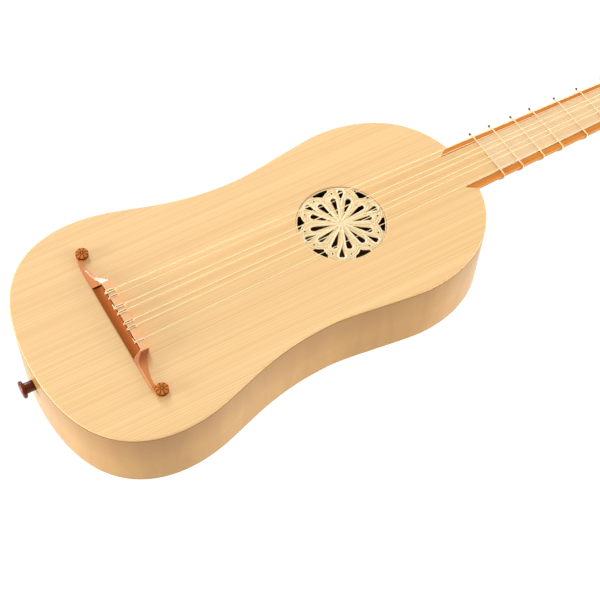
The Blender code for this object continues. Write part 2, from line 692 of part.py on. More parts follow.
def build_bridge():
    top = BRIDGE_FOOT + BRIDGE_HEIGHT
    bridge = prism("bridge", [mirrored(bridge_plan())], BRIDGE_FOOT, top)

    # The side view is sawn next: the block stays high and falls in a hollow curve to the wings
    wing_top = BRIDGE_FOOT + WING_HEIGHT
    fall_end = WING_WAIST - FLOWER_NECK
    fall = bezier((BLOCK_HALF_LENGTH, top + GLUE),
                  (BLOCK_HALF_LENGTH + WING_ROOT_REACH / 2, wing_top + WING_FLARE),
                  (BLOCK_HALF_LENGTH + WING_FALL_REACH, wing_top), (fall_end, wing_top), CURVE_STEPS)
    above = top + CUT_OVER
    side = [tuple(p) for p in fall] + [(fall_end, wing_top), (FLOWER_OUT, wing_top),
                                       (FLOWER_OUT, above), (BLOCK_HALF_LENGTH, above)]
    for loop in (side, treble_side(side)):
        waste = prism("wing_waste", [loop], -2 * BRIDGE_DEPTH, BRIDGE_DEPTH, "YZ")
        boolean(bridge, as_cutter(waste))

    # The tail side is planed to a slope, and its middle is hollowed
    slope = (BRIDGE_HEIGHT - SCOOP_FOOT) / (BRIDGE_DEPTH - BRIDGE_TOP_WIDTH)
    rise = CUT_OVER * slope
    planed = [(-BRIDGE_DEPTH - CUT_OVER, BRIDGE_FOOT + SCOOP_FOOT - rise),
              (-BRIDGE_TOP_WIDTH + CUT_OVER, top + rise),
              (-BRIDGE_DEPTH - CUT_OVER, top + rise)]
    boolean(bridge, as_cutter(prism("slope_waste", [planed], -FLOWER_OUT, FLOWER_OUT, "XZ")))
    centre = scoop_centre()
    height = BRIDGE_FOOT + centre.y
    scoop = rod("scoop_waste", (centre.x, -SCOOP_HALF_LENGTH, height),
                (centre.x, SCOOP_HALF_LENGTH, height), SCOOP_RADIUS, CIRCLE_STEPS)
    boolean(bridge, as_cutter(scoop))

    # Round flowers stand at both ends, and a hole for each string goes through the block
    for side_sign in (1, -1):
        profile = [(FLOWER_RADIUS * share, FLOWER_HEIGHT - FLOWER_DOME * share ** 2) for share in (0, 0.6, 1)]
        profile += [(FLOWER_RADIUS, 0), (0, 0)]
        flower = turned("bridge_flower", profile, CIRCLE_STEPS // 2)
        flower.location = (-FLOWER_FROM_FRONT, side_sign * FLOWER_OUT, BRIDGE_FOOT)
        boolean(bridge, as_cutter(flower), "UNION")
    height = BRIDGE_FOOT + STRING_HOLE_HEIGHT
    for i in range(STRING_COUNT):
        y = string_y_at_bridge(i)
        hole = rod("string_hole", (-BRIDGE_DEPTH, y, height), (CUT_OVER, y, height),
                   STRING_HOLE_RADIUS, HOLE_STEPS)
        boolean(bridge, as_cutter(hole))
    keep(bridge, PEAR)


# Neck

def section_depth(across, width, depth, squareness):
    """How far down the neck's underside lies at a share of its half width."""
    half = width / 2
    radius = (half ** 2 + depth ** 2) / (2 * depth)
    round_part = (math.sqrt(max(radius ** 2 - (across * half) ** 2, 0)) - (radius - depth)) / depth
    square_part = 1 - abs(across) ** 6
    return (1 - squareness) * round_part + squareness * square_part


def neck_section(x, depth, squareness=0.0, steps=SECTION_STEPS):
    """Underside of the neck at x, from the bass edge to the treble edge, as points of Y and Z."""
    half = neck_half(x)
    plain_depth = min(depth, NECK_DEPTH_BODY)
    points = []
    for i in range(steps + 1):
        across = math.cos(math.pi * i / steps)
        share = section_depth(across, 2 * half, plain_depth, squareness)
        keel = (depth - plain_depth) * max(0.0, 1 - (across / HEEL_WIDTH) ** 2)
        points.append((across * half, RIB_TOP - plain_depth * share - keel))
    return points


def neck_depth(x):
    share = (x - JOINT_X) / (SCALE_LENGTH - JOINT_X)
    return NECK_DEPTH_BODY + share * (NECK_DEPTH_NUT - NECK_DEPTH_BODY)


def build_neck():
    """Neck and heel carved from one piece, lofted from cross sections."""
    heel_depth = RIB_TOP - HEEL_CLEARANCE
    start = JOINT_X - NECK_BLOCK_DEPTH / 2
    stations = [(start, heel_depth, 0.0), (JOINT_X + HEEL_FOOT, heel_depth, 0.0)]
    for i in range(1, HEEL_STEPS + 1):
        share = i / HEEL_STEPS
        x = JOINT_X + HEEL_FOOT + share * (HEEL_LENGTH - HEEL_FOOT)
        fall = 1 - math.sin(share * math.pi / 2)
        stations.append((x, neck_depth(x) + fall * (heel_depth - neck_depth(x)), 0.0))
    for i in range(SQUARING_STEPS + 1):
        share = i / SQUARING_STEPS
        x = NECK_END - NECK_SQUARING * (1 - share)
        stations.append((x, neck_depth(x), share))
    shape = bmesh.new()
    rings = []
    for x, depth, squareness in stations:
        lean = math.tan(HEAD_TILT) if x == NECK_END else 0.0
        ring = [shape.verts.new((x + (z - RIB_TOP) * lean, y, z))
                for y, z in neck_section(x, depth, squareness)]
        rings.append([shape.edges.new((a, b)) for a, b in zip(ring, ring[1:] + ring[:1])])
    for first, second in zip(rings, rings[1:]):
        bmesh.ops.bridge_loops(shape, edges=first + second)
    bmesh.ops.holes_fill(shape, edges=rings[0] + rings[-1], sides=0)
    bmesh.ops.triangulate(shape, faces=shape.faces)
    bmesh.ops.recalc_face_normals(shape, faces=shape.faces)
    neck = object_from_bmesh("neck", shape)
    seat = prism("neck_seat", [mirrored(half_outline(-GLUE))], -GLUE, BODY_DEPTH + GLUE)
    boolean(neck, as_cutter(seat))
    keep(neck, SYCAMORE)


def build_fingerboard():
    corner = shoulder()
    end = SCALE_LENGTH - GLUE
    mitre_x = corner.x - STRIP_MITRE
    strip = [(corner.x, neck_half(corner.x)), (mitre_x, strip_inner(mitre_x)),
             (end, strip_inner(end)), (end, neck_half(end))]
    for name, loop in (("edge_strip_bass", strip), ("edge_strip_treble", treble_side(strip))):
        keep(prism(name, [loop], SOUNDBOARD_BOTTOM, BODY_DEPTH), STRIP_WOOD)
    start = fret_x(TONGUE_FRET) + GLUE
    half = [(start, 0), (start, strip_inner(start) - GLUE), (end, strip_inner(end) - GLUE), (end, 0)]
    keep(prism("fingerboard", [mirrored(half)], SOUNDBOARD_BOTTOM, BODY_DEPTH), MAPLE)


# Frets: each is a gut cord tied round the neck, with its knot at the bass edge

def offset_round(loop, distance):
    """Closed route that runs round a convex outline at a distance, with rounded corners."""
    count = len(loop)
    route = []
    for i, here in enumerate(loop):
        here = Vector(here)
        before = (here - Vector(loop[i - 1])).normalized()
        after = (Vector(loop[(i + 1) % count]) - here).normalized()
        out_before = Vector((before.y, -before.x))
        out_after = Vector((after.y, -after.x))
        middle = (out_before + out_after).normalized()
        if out_before.dot(out_after) < math.cos(math.radians(40)):
            route += [here + out_before * distance, here + middle * distance, here + out_after * distance]
        else:
            route.append(here + middle * distance / middle.dot(out_before))
    return route


def build_frets():
    for number in range(1, len(FRET_PUSHED) + 1):
        x = fret_x(number)
        half = neck_half(x)
        under = neck_section(x, neck_depth(x), 0.0, FRET_STEPS)
        outline = [(half, BODY_DEPTH), (-half, BODY_DEPTH)] + under[::-1]
        route = offset_round(outline, FRET_DIAMETER / 2 + GLUE)
        loop = tube(f"fret_{number}", [(0, p.x, p.y - BODY_DEPTH) for p in route], FRET_DIAMETER, cyclic=True)
        loop.location = (x, 0, BODY_DEPTH)
        fret = solid_from_curve(loop)
        shape = bmesh.new()
        out = half + GLUE + FRET_KNOT_RADIUS
        place = Matrix.Translation((x, out, BODY_DEPTH - FRET_KNOT_DROP))
        bmesh.ops.create_uvsphere(shape, u_segments=8, v_segments=5, radius=FRET_KNOT_RADIUS, matrix=place)
        boolean(fret, as_cutter(object_from_bmesh("fret_knot", shape)), "UNION")
        keep(fret, GUT)


# Head, pegs and nut

def build_head(head_frame):
    half_neck = NECK_WIDTH_NUT / 2
    half_shoulder = HEAD_SHOULDER_WIDTH / 2
    half_top = HEAD_TOP_WIDTH / 2
    half_crest = HEAD_CREST_WIDTH / 2
    crest_x = HEAD_LENGTH - HEAD_CREST_LENGTH
    swell = HEAD_SHOULDER_FROM_NECK / 2
    half = [(0, 0)] + bezier((0, half_neck), (swell, half_neck),
                             (HEAD_SHOULDER_FROM_NECK - swell, half_shoulder),
                             (HEAD_SHOULDER_FROM_NECK, half_shoulder), CURVE_STEPS)
    half += bezier((HEAD_SHOULDER_FROM_NECK, half_shoulder), (crest_x / 2, half_shoulder),
                   (crest_x / 2, half_top), (crest_x, half_top), CURVE_STEPS)
    scoop_x = crest_x + HEAD_CREST_LENGTH / 2
    half += bezier((crest_x, half_top), (crest_x, (half_top + half_crest) / 2),
                   (crest_x + HEAD_CREST_LENGTH / 6, half_crest), (scoop_x, half_crest), CURVE_STEPS)
    half += bezier((scoop_x, half_crest), (scoop_x + HEAD_CREST_LENGTH / 4, half_crest),
                   (HEAD_LENGTH, half_crest / 2), (HEAD_LENGTH, 0), CURVE_STEPS)
    half.append((HEAD_LENGTH, 0))
    head = prism("headstock", [mirrored(half)], -HEAD_THICKNESS, 0.0)
    head.parent = head_frame
    for x, y, _ in peg_places():
        rear = peg_radius(-HEAD_THICKNESS - GLUE) + PEG_CLEARANCE
        front = peg_radius(GLUE) + PEG_CLEARANCE
        hole = rod("peg_hole", (x, y, -HEAD_THICKNESS - GLUE), (x, y, GLUE), rear, 2 * HOLE_STEPS, front)
        hole.parent = head_frame
        boolean(head, as_cutter(hole))
    keep(head, SYCAMORE)


def peg_radius(height):
    """Radius of a peg's tapered shaft at a height above the face of the head."""
    return PEG_TIP_RADIUS + (PEG_PROUD - height) * PEG_TAPER


def peg_places():
    """Place of each string's peg on the head, and the way its string winds, from bass to treble."""
    pairs = STRING_COUNT // 2
    rows = [(PEG_FIRST + i * PEG_SPACING, PEG_FIRST_OUT + i * PEG_SPREAD) for i in range(pairs)]
    bass = [(x, y, 1) for x, y in rows]
    treble = [(x, -y, -1) for x, y in reversed(rows)]
    return bass + [(PEG_LAST, 0.0, -1)] + treble


def peg_mesh():
    """Peg with its leaf behind the head and an eye for the string in front of it."""
    behind = -HEAD_THICKNESS - PEG_NECK_LENGTH
    collar_end = behind - PEG_COLLAR_LENGTH
    tip = PEG_PROUD
    root = collar_end - PEG_LEAF_SHOULDER
    profile = [(0, tip), (PEG_TIP_RADIUS - PEG_TIP_ROUND, tip), (PEG_TIP_RADIUS, tip - PEG_TIP_ROUND),
               (peg_radius(behind), behind)]
    profile += round_rim(PEG_COLLAR_RADIUS, behind, collar_end)
    profile += [(PEG_TIP_RADIUS, collar_end), (PEG_ROOT_RADIUS, root), (0, root)]
    shaft = turned("peg_shaft", profile, PEG_STEPS)
    half = PEG_LEAF_WIDTH / 2
    leaf_top = collar_end - PEG_LEAF_HOLLOW
    leaf_end = leaf_top - PEG_LEAF_LENGTH
    corner = (PEG_LEAF_END_WIDTH / 2, leaf_end)
    side = [(0, leaf_top)] + bezier((PEG_ROOT_RADIUS, leaf_top), (half, leaf_top - PEG_LEAF_SHOULDER),
                                    (half + PEG_LEAF_HOLLOW, leaf_end + PEG_LEAF_CHEEK), corner, CURVE_STEPS)
    side += [corner, (0, leaf_end + PEG_LEAF_HOLLOW)]
    leaf_half = PEG_LEAF_THICKNESS / 2
    leaf = prism("peg_leaf", [mirrored(side, (-1, 1))], -leaf_half, leaf_half, "XZ")
    boolean(shaft, as_cutter(leaf), "UNION")
    eye = rod("peg_eye", (-PEG_COLLAR_RADIUS, 0, PEG_EYE_HEIGHT), (PEG_COLLAR_RADIUS, 0, PEG_EYE_HEIGHT),
              PEG_EYE_RADIUS, HOLE_STEPS)
    boolean(shaft, as_cutter(eye))
    mesh = evaluated_mesh(shaft)
    for spent in (shaft, leaf, eye):
        bpy.data.objects.remove(spent, do_unlink=True)
    return mesh


def build_pegs(head_frame):
    mesh = peg_mesh()
    for i, (x, y, _) in enumerate(peg_places()):
        peg = bpy.data.objects.new(f"peg_{i + 1}", mesh)
        GUITAR.objects.link(peg)
        peg.parent = head_frame
        peg.location = (x, y, 0)
        peg.rotation_euler = (0, 0, winding_angles(i)[1])
    mesh.materials.clear()
    mesh.materials.append(PLUM)


def build_nut():
    half = NECK_WIDTH_NUT / 2
    top = BODY_DEPTH + NUT_ACTION + NUT_LIP
    back_top = top - NUT_THICKNESS * math.tan(HEAD_TILT)
    side = [(SCALE_LENGTH, SOUNDBOARD_BOTTOM), (NUT_END, SOUNDBOARD_BOTTOM), (NUT_END, back_top),
            (SCALE_LENGTH, top)]
    nut = prism("nut", [side], -half, half, "XZ")
    for i in range(STRING_COUNT):
        before, here, after = string_points_near_nut(i)
        radius = STRING_DIAMETERS[i] / 2 + GLUE
        along = (here - before).normalized()
        start, end = here - along * NUT_THICKNESS, here + along * NUT_SLOT_OVERLAP
        boolean(nut, as_cutter(rod("nut_slot", start, end, radius)))
        along = (after - here).normalized()
        start, end = here - along * NUT_SLOT_OVERLAP, here + along * 2 * NUT_THICKNESS
        boolean(nut, as_cutter(rod("nut_slot", start, end, radius)))
    keep(nut, BONE)


# Strings

def string_y(index, first_course, pitch, pair_half):
    return first_course + STRING_COURSES[index] * pitch + STRING_SIDES[index] * pair_half


def string_y_at_bridge(index):
    return string_y(index, FIRST_COURSE_AT_BRIDGE, COURSE_PITCH_AT_BRIDGE, PAIR_HALF_AT_BRIDGE)


def nut_point(index):
    y = string_y(index, FIRST_COURSE_AT_NUT, COURSE_PITCH_AT_NUT, PAIR_HALF_AT_NUT)
    return Vector((SCALE_LENGTH, y, BODY_DEPTH + NUT_ACTION))


def wrap_radius(index):
    return peg_radius(WRAP_HEIGHT) + GLUE + STRING_DIAMETERS[index] / 2


def wrap_start(index):
    """Angle on its peg where a string that comes from the nut first touches its turn."""
    x, y, way = peg_places()[index]
    nut = HEAD_FRAME.inverted() @ nut_point(index)
    to_nut = Vector((nut.x - x, nut.y - y))
    return math.atan2(to_nut.y, to_nut.x) + way * math.acos(wrap_radius(index) / to_nut.length)


def winding_foot(index):
    """Height of a winding's first turn, just above the fixed one."""
    return WRAP_HEIGHT + STRING_DIAMETERS[index] + WINDING_GAP


def winding_turns(index):
    return (PEG_EYE_HEIGHT - winding_foot(index)) / (STRING_DIAMETERS[index] + WINDING_GAP)


def winding_angles(index):
    """Angles on the peg where its winding starts and where it goes into the peg's eye."""
    way = peg_places()[index][2]
    start = wrap_start(index) + way * WINDING_LEAD
    return start, start + way * 2 * math.pi * winding_turns(index)


def on_peg(index, radius, angle, height):
    x, y, _ = peg_places()[index]
    return HEAD_FRAME @ Vector((x + radius * math.cos(angle), y + radius * math.sin(angle), height))


def tie_route(diameter):
    """String's knot on the bridge, from its free end: two strands over the top, then the hole.

    Points are X from the bridge's front, Y from the string and Z from the bridge's foot.
    """
    radius = diameter / 2
    clear = radius + GLUE
    spread = diameter + KNOT_AIR
    top = BRIDGE_HEIGHT + clear
    hook = clear + diameter + KNOT_AIR
    edge = -BRIDGE_TOP_WIDTH - KNOT_DIP
    behind = edge - KNOT_OUT
    dipped = BRIDGE_HEIGHT + KNOT_DIP
    mouth = scoop_face(STRING_HOLE_HEIGHT) - KNOT_MOUTH_BEND
    return [
        (behind - KNOT_END, -spread, dipped - KNOT_END_DROP),
        (behind, -spread, dipped),
        (edge, -spread, top),
        (GLUE, -spread, top),
        (hook, -spread, BRIDGE_HEIGHT - KNOT_DIP),
        (hook, -spread / 2, BRIDGE_HEIGHT - radius - KNOT_HOOK_DROP),
        (hook, spread / 2, BRIDGE_HEIGHT - radius - KNOT_HOOK_DROP),
        (hook, spread, BRIDGE_HEIGHT - KNOT_DIP),
        (GLUE, spread, top),
        (edge, spread, top),
        (behind, spread, dipped),
        (mouth, spread / 2, STRING_HOLE_HEIGHT + KNOT_MOUTH_BEND),
        (mouth, 0, STRING_HOLE_HEIGHT + KNOT_DIP),
        (mouth + KNOT_END, 0, STRING_HOLE_HEIGHT),
        (KNOT_DIP, 0, STRING_HOLE_HEIGHT),
        (clear, 0, STRING_HOLE_HEIGHT + KNOT_RISE),
        (clear, 0, BRIDGE_HEIGHT - KNOT_DIP),
        (hook + KNOT_LEAVE, 0, BRIDGE_HEIGHT + radius + KNOT_DIP),
    ]


def string_points_near_nut(index):
    """A point of the string on either side of the nut, and the one on it."""
    foot = Vector((0, string_y_at_bridge(index), BRIDGE_FOOT))
    leaves = foot + Vector(tie_route(STRING_DIAMETERS[index])[-1])
    lands = on_peg(index, wrap_radius(index), wrap_start(index), WRAP_HEIGHT)
    return leaves, nut_point(index), lands


def string_route(index):
    foot = Vector((0, string_y_at_bridge(index), BRIDGE_FOOT))
    route = [foot + Vector(step) for step in tie_route(STRING_DIAMETERS[index])]
    route.append(nut_point(index))
    way = peg_places()[index][2]
    steps = round(TURN_STEPS * WRAP_ANGLE / (2 * math.pi))
    for i in range(steps + 1):
        angle = wrap_start(index) + way * WRAP_ANGLE * i / steps
        route.append(on_peg(index, wrap_radius(index), angle, WRAP_HEIGHT))
    return route


def winding_route(index):
    """Turns of a string on its peg, which climb to the peg's eye and end in it."""
    way = peg_places()[index][2]
    start, end = winding_angles(index)
    radius = wrap_radius(index)
    low = winding_foot(index)
    end_run = way * WINDING_CORNER / radius
    steps = round(TURN_STEPS * winding_turns(index))
    route = []
    for i in range(steps + 1):
        share = i / steps
        angle = start + share * (end - end_run - start)
        route.append(on_peg(index, radius, angle, low + share * (PEG_EYE_HEIGHT - low)))
    for reach in (radius - WINDING_CORNER, radius / 2):
        route.append(on_peg(index, reach, end, PEG_EYE_HEIGHT))
    return route


def least_self_gap(route, diameter):
    """Least air between two turns of a winding, measured on its points."""
    apart = TURN_STEPS * 3 // 4
    least = min((route[i] - route[j]).length for i in range(len(route)) for j in range(i + apart, len(route)))
    return least - diameter


def build_strings():
    for i in range(STRING_COUNT):
        keep(tube(f"string_{i + 1}", string_route(i), STRING_DIAMETERS[i]), GUT)
        route = winding_route(i)
        gap = least_self_gap(route, STRING_DIAMETERS[i])
        print(f"winding_{i + 1}: least gap between its turns {gap / MM:.2f} mm")
        centre = HEAD_FRAME @ Vector((*peg_places()[i][:2], 0))
        winding = tube(f"winding_{i + 1}", [point - centre for point in route], STRING_DIAMETERS[i])
        winding.location = centre
        keep(winding, GUT)


clear_scene()
GUITAR = new_collection("Renaissance guitar")
CUTTERS = new_collection("Cutters")

SPRUCE = material("Spruce soundboard", "F3D49C", 0.5)
SYCAMORE = material("Flamed sycamore", "E3C08C", 0.42)
ROSE_WOOD = material("Pale pear rose", "F1DEAC", 0.55)
INNER_SPRUCE = material("Bar spruce", "E8CFA0", 0.7)
INNER_WOOD = material("Block willow", "DDBF90", 0.7)
PEAR = material("Steamed pear bridge", "B9693C", 0.45)
STRIP_WOOD = material("Plum edge strip", "D6883C", 0.4)
MAPLE = material("Maple fingerboard", "EFCFA2", 0.42)
PLUM = material("Dark plum fittings", "6B1F14", 0.3)
BONE = material("Bone", "F1E8D0", 0.35)
GUT = material("Gut", "F2E0AE", 0.35)

HEAD_EMPTY = bpy.data.objects.new("Head frame", None)
GUITAR.objects.link(HEAD_EMPTY)
HEAD_EMPTY.matrix_world = HEAD_FRAME
bpy.context.view_layer.update()

build_soundboard()
build_rose()
build_back()
button_hole_cutter = build_ribs()
build_blocks(button_hole_cutter)
build_linings()
build_bars()
build_end_button()
build_bridge()
build_neck()
build_fingerboard()
build_frets()
build_head(HEAD_EMPTY)
build_pegs(HEAD_EMPTY)
build_nut()
build_strings()
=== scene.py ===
"""Renaissance guitar: woods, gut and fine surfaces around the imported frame.

Lengths are metres. X = 0 is the bridge's front edge, +X runs to the head, +Y is the bass side,
and Z = 0 is the back's outer face.
"""

import json
import math

import bmesh
import bpy
from mathutils import Matrix, Vector, kdtree, noise
from mathutils.geometry import interpolate_bezier


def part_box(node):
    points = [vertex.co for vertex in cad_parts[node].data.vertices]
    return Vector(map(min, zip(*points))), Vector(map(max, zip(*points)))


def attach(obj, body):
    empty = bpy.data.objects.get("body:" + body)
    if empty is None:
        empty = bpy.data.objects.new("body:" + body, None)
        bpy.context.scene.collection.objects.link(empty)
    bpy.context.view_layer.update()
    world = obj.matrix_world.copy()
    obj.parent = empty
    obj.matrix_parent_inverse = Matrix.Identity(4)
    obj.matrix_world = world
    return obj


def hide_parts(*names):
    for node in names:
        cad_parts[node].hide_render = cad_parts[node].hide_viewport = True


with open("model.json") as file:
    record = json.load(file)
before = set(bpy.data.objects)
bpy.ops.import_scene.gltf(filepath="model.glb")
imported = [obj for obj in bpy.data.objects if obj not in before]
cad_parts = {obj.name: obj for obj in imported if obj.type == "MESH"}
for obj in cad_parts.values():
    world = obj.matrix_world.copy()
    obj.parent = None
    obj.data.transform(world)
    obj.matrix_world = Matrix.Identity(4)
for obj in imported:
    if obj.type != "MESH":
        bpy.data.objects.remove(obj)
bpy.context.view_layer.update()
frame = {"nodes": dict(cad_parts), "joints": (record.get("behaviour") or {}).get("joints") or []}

bl_info = {
    "name": "Renaissance guitar",
    "version": (1, 0, 0),
    "blender": (4, 5, 0),
    "location": "View3D > Sidebar > Guitar",
    "description": "Dresses a small four-course guitar in its woods, gut and varnish",
    "category": "Object",
}

MM = 0.001
GLUE = 0.3 * MM                    # glue line or air between two pieces that touch
WELD = 0.002 * MM
TURN = 2 * math.pi

# Places and sizes that the frame gives
BACK_LOW, BACK_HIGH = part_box("back")
TAIL_X, JOINT_X = BACK_LOW.x, BACK_HIGH.x
BODY_HALF = BACK_HIGH.y
BOARD_LOW, BOARD_TOP = (corner.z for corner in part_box("soundboard"))
RIB_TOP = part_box("rib_bass")[1].z
ROSE_LOW, ROSE_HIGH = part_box("rose_tracery")
ROSE_X = (ROSE_LOW.x + ROSE_HIGH.x) / 2
ROSE_RADIUS = ROSE_HIGH.y
BRIDGE_LOW, BRIDGE_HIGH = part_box("bridge")
BRIDGE_FOOT = BRIDGE_LOW.z
BRIDGE_HEIGHT = BRIDGE_HIGH.z - BRIDGE_FOOT
BRIDGE_DEPTH = -BRIDGE_LOW.x
NUT_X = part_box("nut")[0].x
NECK_LOW, NECK_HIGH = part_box("neck")
BUTTON_LOW, BUTTON_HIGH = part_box("end_button")
FRET_X = [sum(corner.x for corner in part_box(node)) / 2
          for node in sorted(frame["nodes"]) if node.startswith("fret_")]
PEG_JOINTS = [joint for joint in frame["joints"] if joint["name"].startswith("peg_")]
STRING_COUNT = len(PEG_JOINTS)
HEAD_THICKNESS = 11 * MM           # the head is tilted, so its box doesn't give it
HEAD_TILT = math.atan2(PEG_JOINTS[0]["axis"][0], PEG_JOINTS[0]["axis"][2])
HEAD_FRAME = Matrix.Translation((NECK_HIGH.x + GLUE, 0, RIB_TOP)) @ Matrix.Rotation(HEAD_TILT, 4, "Y")


# Sizes and colours

def length(label, note, millimetres):
    return bpy.props.FloatProperty(name=label, description=note, default=millimetres * MM,
                                   unit="LENGTH", precision=5)


def turn_of(label, note, degrees):
    return bpy.props.FloatProperty(name=label, description=note, default=math.radians(degrees),
                                   subtype="ANGLE")


def linear(channel):
    return channel / 12.92 if channel <= 0.04045 else ((channel + 0.055) / 1.055) ** 2.4


def colour(code):
    """Linear colour of an sRGB hex value."""
    return tuple(linear(int(code[i:i + 2], 16) / 255) for i in (0, 2, 4))


def tone(label, note, code):
    return bpy.props.FloatVectorProperty(name=label, description=note, default=colour(code),
                                         subtype="COLOR")


class GuitarSizes(bpy.types.PropertyGroup):
    """Sizes of the guitar's fine shapes."""
    lower_bout_at: length("Lower bout", "From the tail to where the body is widest", 77.5)
    waist_width: length("Waist width", "Narrowest width of the body", 152.4)
    waist_at: length("Waist", "From the tail to the waist", 210)
    upper_width: length("Upper bout width", "Widest width near the neck", 171.8)
    upper_at: length("Upper bout", "From the tail to the upper bout", 291.6)
    tail_fullness: length("Tail fullness", "Reach of the curve at the tail", 90)
    lower_to_tail: length("Lower bout to tail", "Reach of the curve", 26.5)
    lower_to_waist: length("Lower bout to waist", "Reach of the curve", 42.5)
    waist_to_lower: length("Waist to lower bout", "Reach of the curve", 68)
    waist_to_upper: length("Waist to upper bout", "Reach of the curve", 17.5)
    upper_to_waist: length("Upper bout to waist", "Reach of the curve", 16)
    upper_to_neck: length("Upper bout to neck", "Reach of the curve", 47)
    neck_fullness: length("Neck end fullness", "Reach of the curve at the neck", 58.5)
    rib_thickness: length("Rib thickness", "Bent sycamore", 1.8)
    arris: length("Arris", "Rounding of the soundboard's and back's edges", 0.85)

    lobe_centre: length("Lobe centre", "From the rose's middle to a lobe's", 20.0)
    lobe_radius: length("Lobe radius", "Outer line of a lobe", 14.4)
    petal_tip: length("Petal tip", "Point of a long opening", 7.4)
    petal_end: length("Petal end", "Middle of a long opening's round end", 22.6)
    petal_radius: length("Petal radius", "Round end of a long opening", 2.25)
    tear_tip: length("Tear tip", "Point of a short opening", 22.3)
    tear_end: length("Tear end", "Middle of a short opening's round end", 30.7)
    tear_radius: length("Tear radius", "Round end of a short opening", 2.2)
    eye_at: length("Eye", "From the rose's middle to a small hole", 29.8)
    eye_turn: turn_of("Eye turn", "Small hole to its lobe's axis", 14.2)
    eye_radius: length("Eye radius", "Small round hole", 0.8)
    corner_turn: turn_of("Corner turn", "Half of a corner opening, seen from the middle", 11.6)
    bead: length("Bead", "Half width of the raised rim of an opening", 0.72)

    neck_width_body: length("Neck at the body", "Width of the neck at the body", 46)
    neck_width_nut: length("Neck at the nut", "Width of the neck at the nut", 36.6)
    neck_depth_body: length("Neck depth at the body", "Thickness of the neck", 16.5)
    neck_depth_nut: length("Neck depth at the nut", "Thickness of the neck", 13.5)
    heel_foot: length("Heel foot", "Length of the heel at the back", 4)
    heel_length: length("Heel length", "Length of the heel at the neck", 11)
    heel_share: bpy.props.FloatProperty(
        name="Heel width", description="Heel as a share of the neck's width", default=0.62,
        subtype="FACTOR")
    squaring: length("Squaring", "Where the round neck turns into the square head", 22)
    strip_width: length("Strip width", "Edge strip along the neck", 5.3)
    strip_mitre: length("Strip mitre", "Slanted body end of a strip", 7.2)

    fret_diameter: length("Fret gut", "Thickness of the tied frets", 0.9)
    knot_out: length("Fret knot ends", "How far the burnt ends stand off the neck", 3.6)

    head_length: length("Head length", "Headstock without the neck", 144)
    head_shoulder: length("Head shoulder", "Width where the head widens", 57)
    head_shoulder_at: length("Shoulder", "From the neck to the shoulder", 21)
    head_top: length("Head top", "Width near the far end", 66)
    crest_length: length("Crest length", "Stepped end of the head", 26)
    crest_width: length("Crest width", "Stepped end of the head", 28)
    peg_tip: length("Peg tip radius", "Thin end of a peg", 3.4)
    peg_proud: length("Peg proud", "Peg in front of the head", 12)
    peg_neck: length("Peg neck", "Shaft between the head and the collar", 4)
    collar_radius: length("Collar radius", "Turned collar of a peg", 5.4)
    collar_length: length("Collar length", "Turned collar of a peg", 2.4)
    leaf_width: length("Leaf width", "Peg's leaf", 16)
    leaf_end_width: length("Leaf end width", "Peg's leaf at its end", 10)
    leaf_length: length("Leaf length", "Peg's leaf", 15)
    leaf_thickness: length("Leaf thickness", "Peg's leaf", 4.6)
    eye_height: length("Peg eye", "Hole for the string, above the head's face", 7.7)
    wrap_height: length("First turn", "String's first turn, above the head's face", 3.6)

    strings: bpy.props.FloatVectorProperty(
        name="Strings", description="Thickness of the strings from bass to treble", size=7, unit="LENGTH",
        default=[size * MM for size in (0.95, 0.5, 0.78, 0.74, 0.64, 0.6, 0.52)])
    first_at_bridge: length("First course at the bridge", "Offset of the treble string", -23.8)
    pitch_at_bridge: length("Course pitch at the bridge", "From course to course", 15.4)
    pair_at_bridge: length("Pair at the bridge", "Half the space in a pair", 2.7)
    first_at_nut: length("First course at the nut", "Offset of the treble string", -13.6)
    pitch_at_nut: length("Course pitch at the nut", "From course to course", 9.2)
    pair_at_nut: length("Pair at the nut", "Half the space in a pair", 1.9)
    knot_gap: length("Knot gap", "Half the space between a knot's two strands", 0.48)
    free_end: length("Free end", "Free end of a string behind the bridge's top", 4.2)
    nut_action: length("Nut action", "Strings above the fingerboard at the nut", 1.8)

    bridge_shift: length("Bridge shift", "How far the bridge sits to the bass side", 1.2)
    block_half: length("Block", "Half length of the bridge's block", 33.5)
    block_top: length("Block top", "Width of the block's top", 6)
    scoop_half: length("Scoop", "Half length of the hollow behind the strings", 32.3)
    scoop_radius: length("Scoop radius", "Radius of the hollow", 7)
    scoop_foot: length("Scoop foot", "Height of the hollow's tail edge", 0.9)
    scoop_step: length("Scoop step", "Height of the small step behind the strings", 0.6)
    scoop_chips: length("Scoop chips", "Unevenness of that step, cut by hand", 0.22)
    scoop_slant: length("Scoop slant", "How far the hollow's bass end leans outwards", 3.6)
    scoop_treble_slant: length("Scoop treble slant", "How far its treble end leans outwards", 1.4)
    wing_waist: length("Wing waist", "Where a wing is thinnest", 50)
    wing_width: length("Wing width", "Width of a wing at its waist", 4.8)
    sweep_length: length("Sweep", "Length of the treble sweep, from the block down to the wing", 11.5)
    flower_out: length("Flower", "From the middle to a flower", 67)
    flower_back: length("Flower back", "From the bridge's front to a flower", 6.6)
    flower_radius: length("Flower radius", "Carved flower", 5.0)
    flower_height: length("Flower height", "Carved flower", 4.2)
    hole_height: length("String hole", "Height above the bridge's foot", 4.7)
    hole_radius: length("String hole radius", "Hole through the block", 0.8)

    button_stem: length("Button stem", "Length of the stem outside the rib", 7.1)
    button_stem_radius: length("Button stem radius", "Stem of the end button", 4.3)
    button_pin_radius: length("Button pin radius", "Pin in the tail block", 3.3)


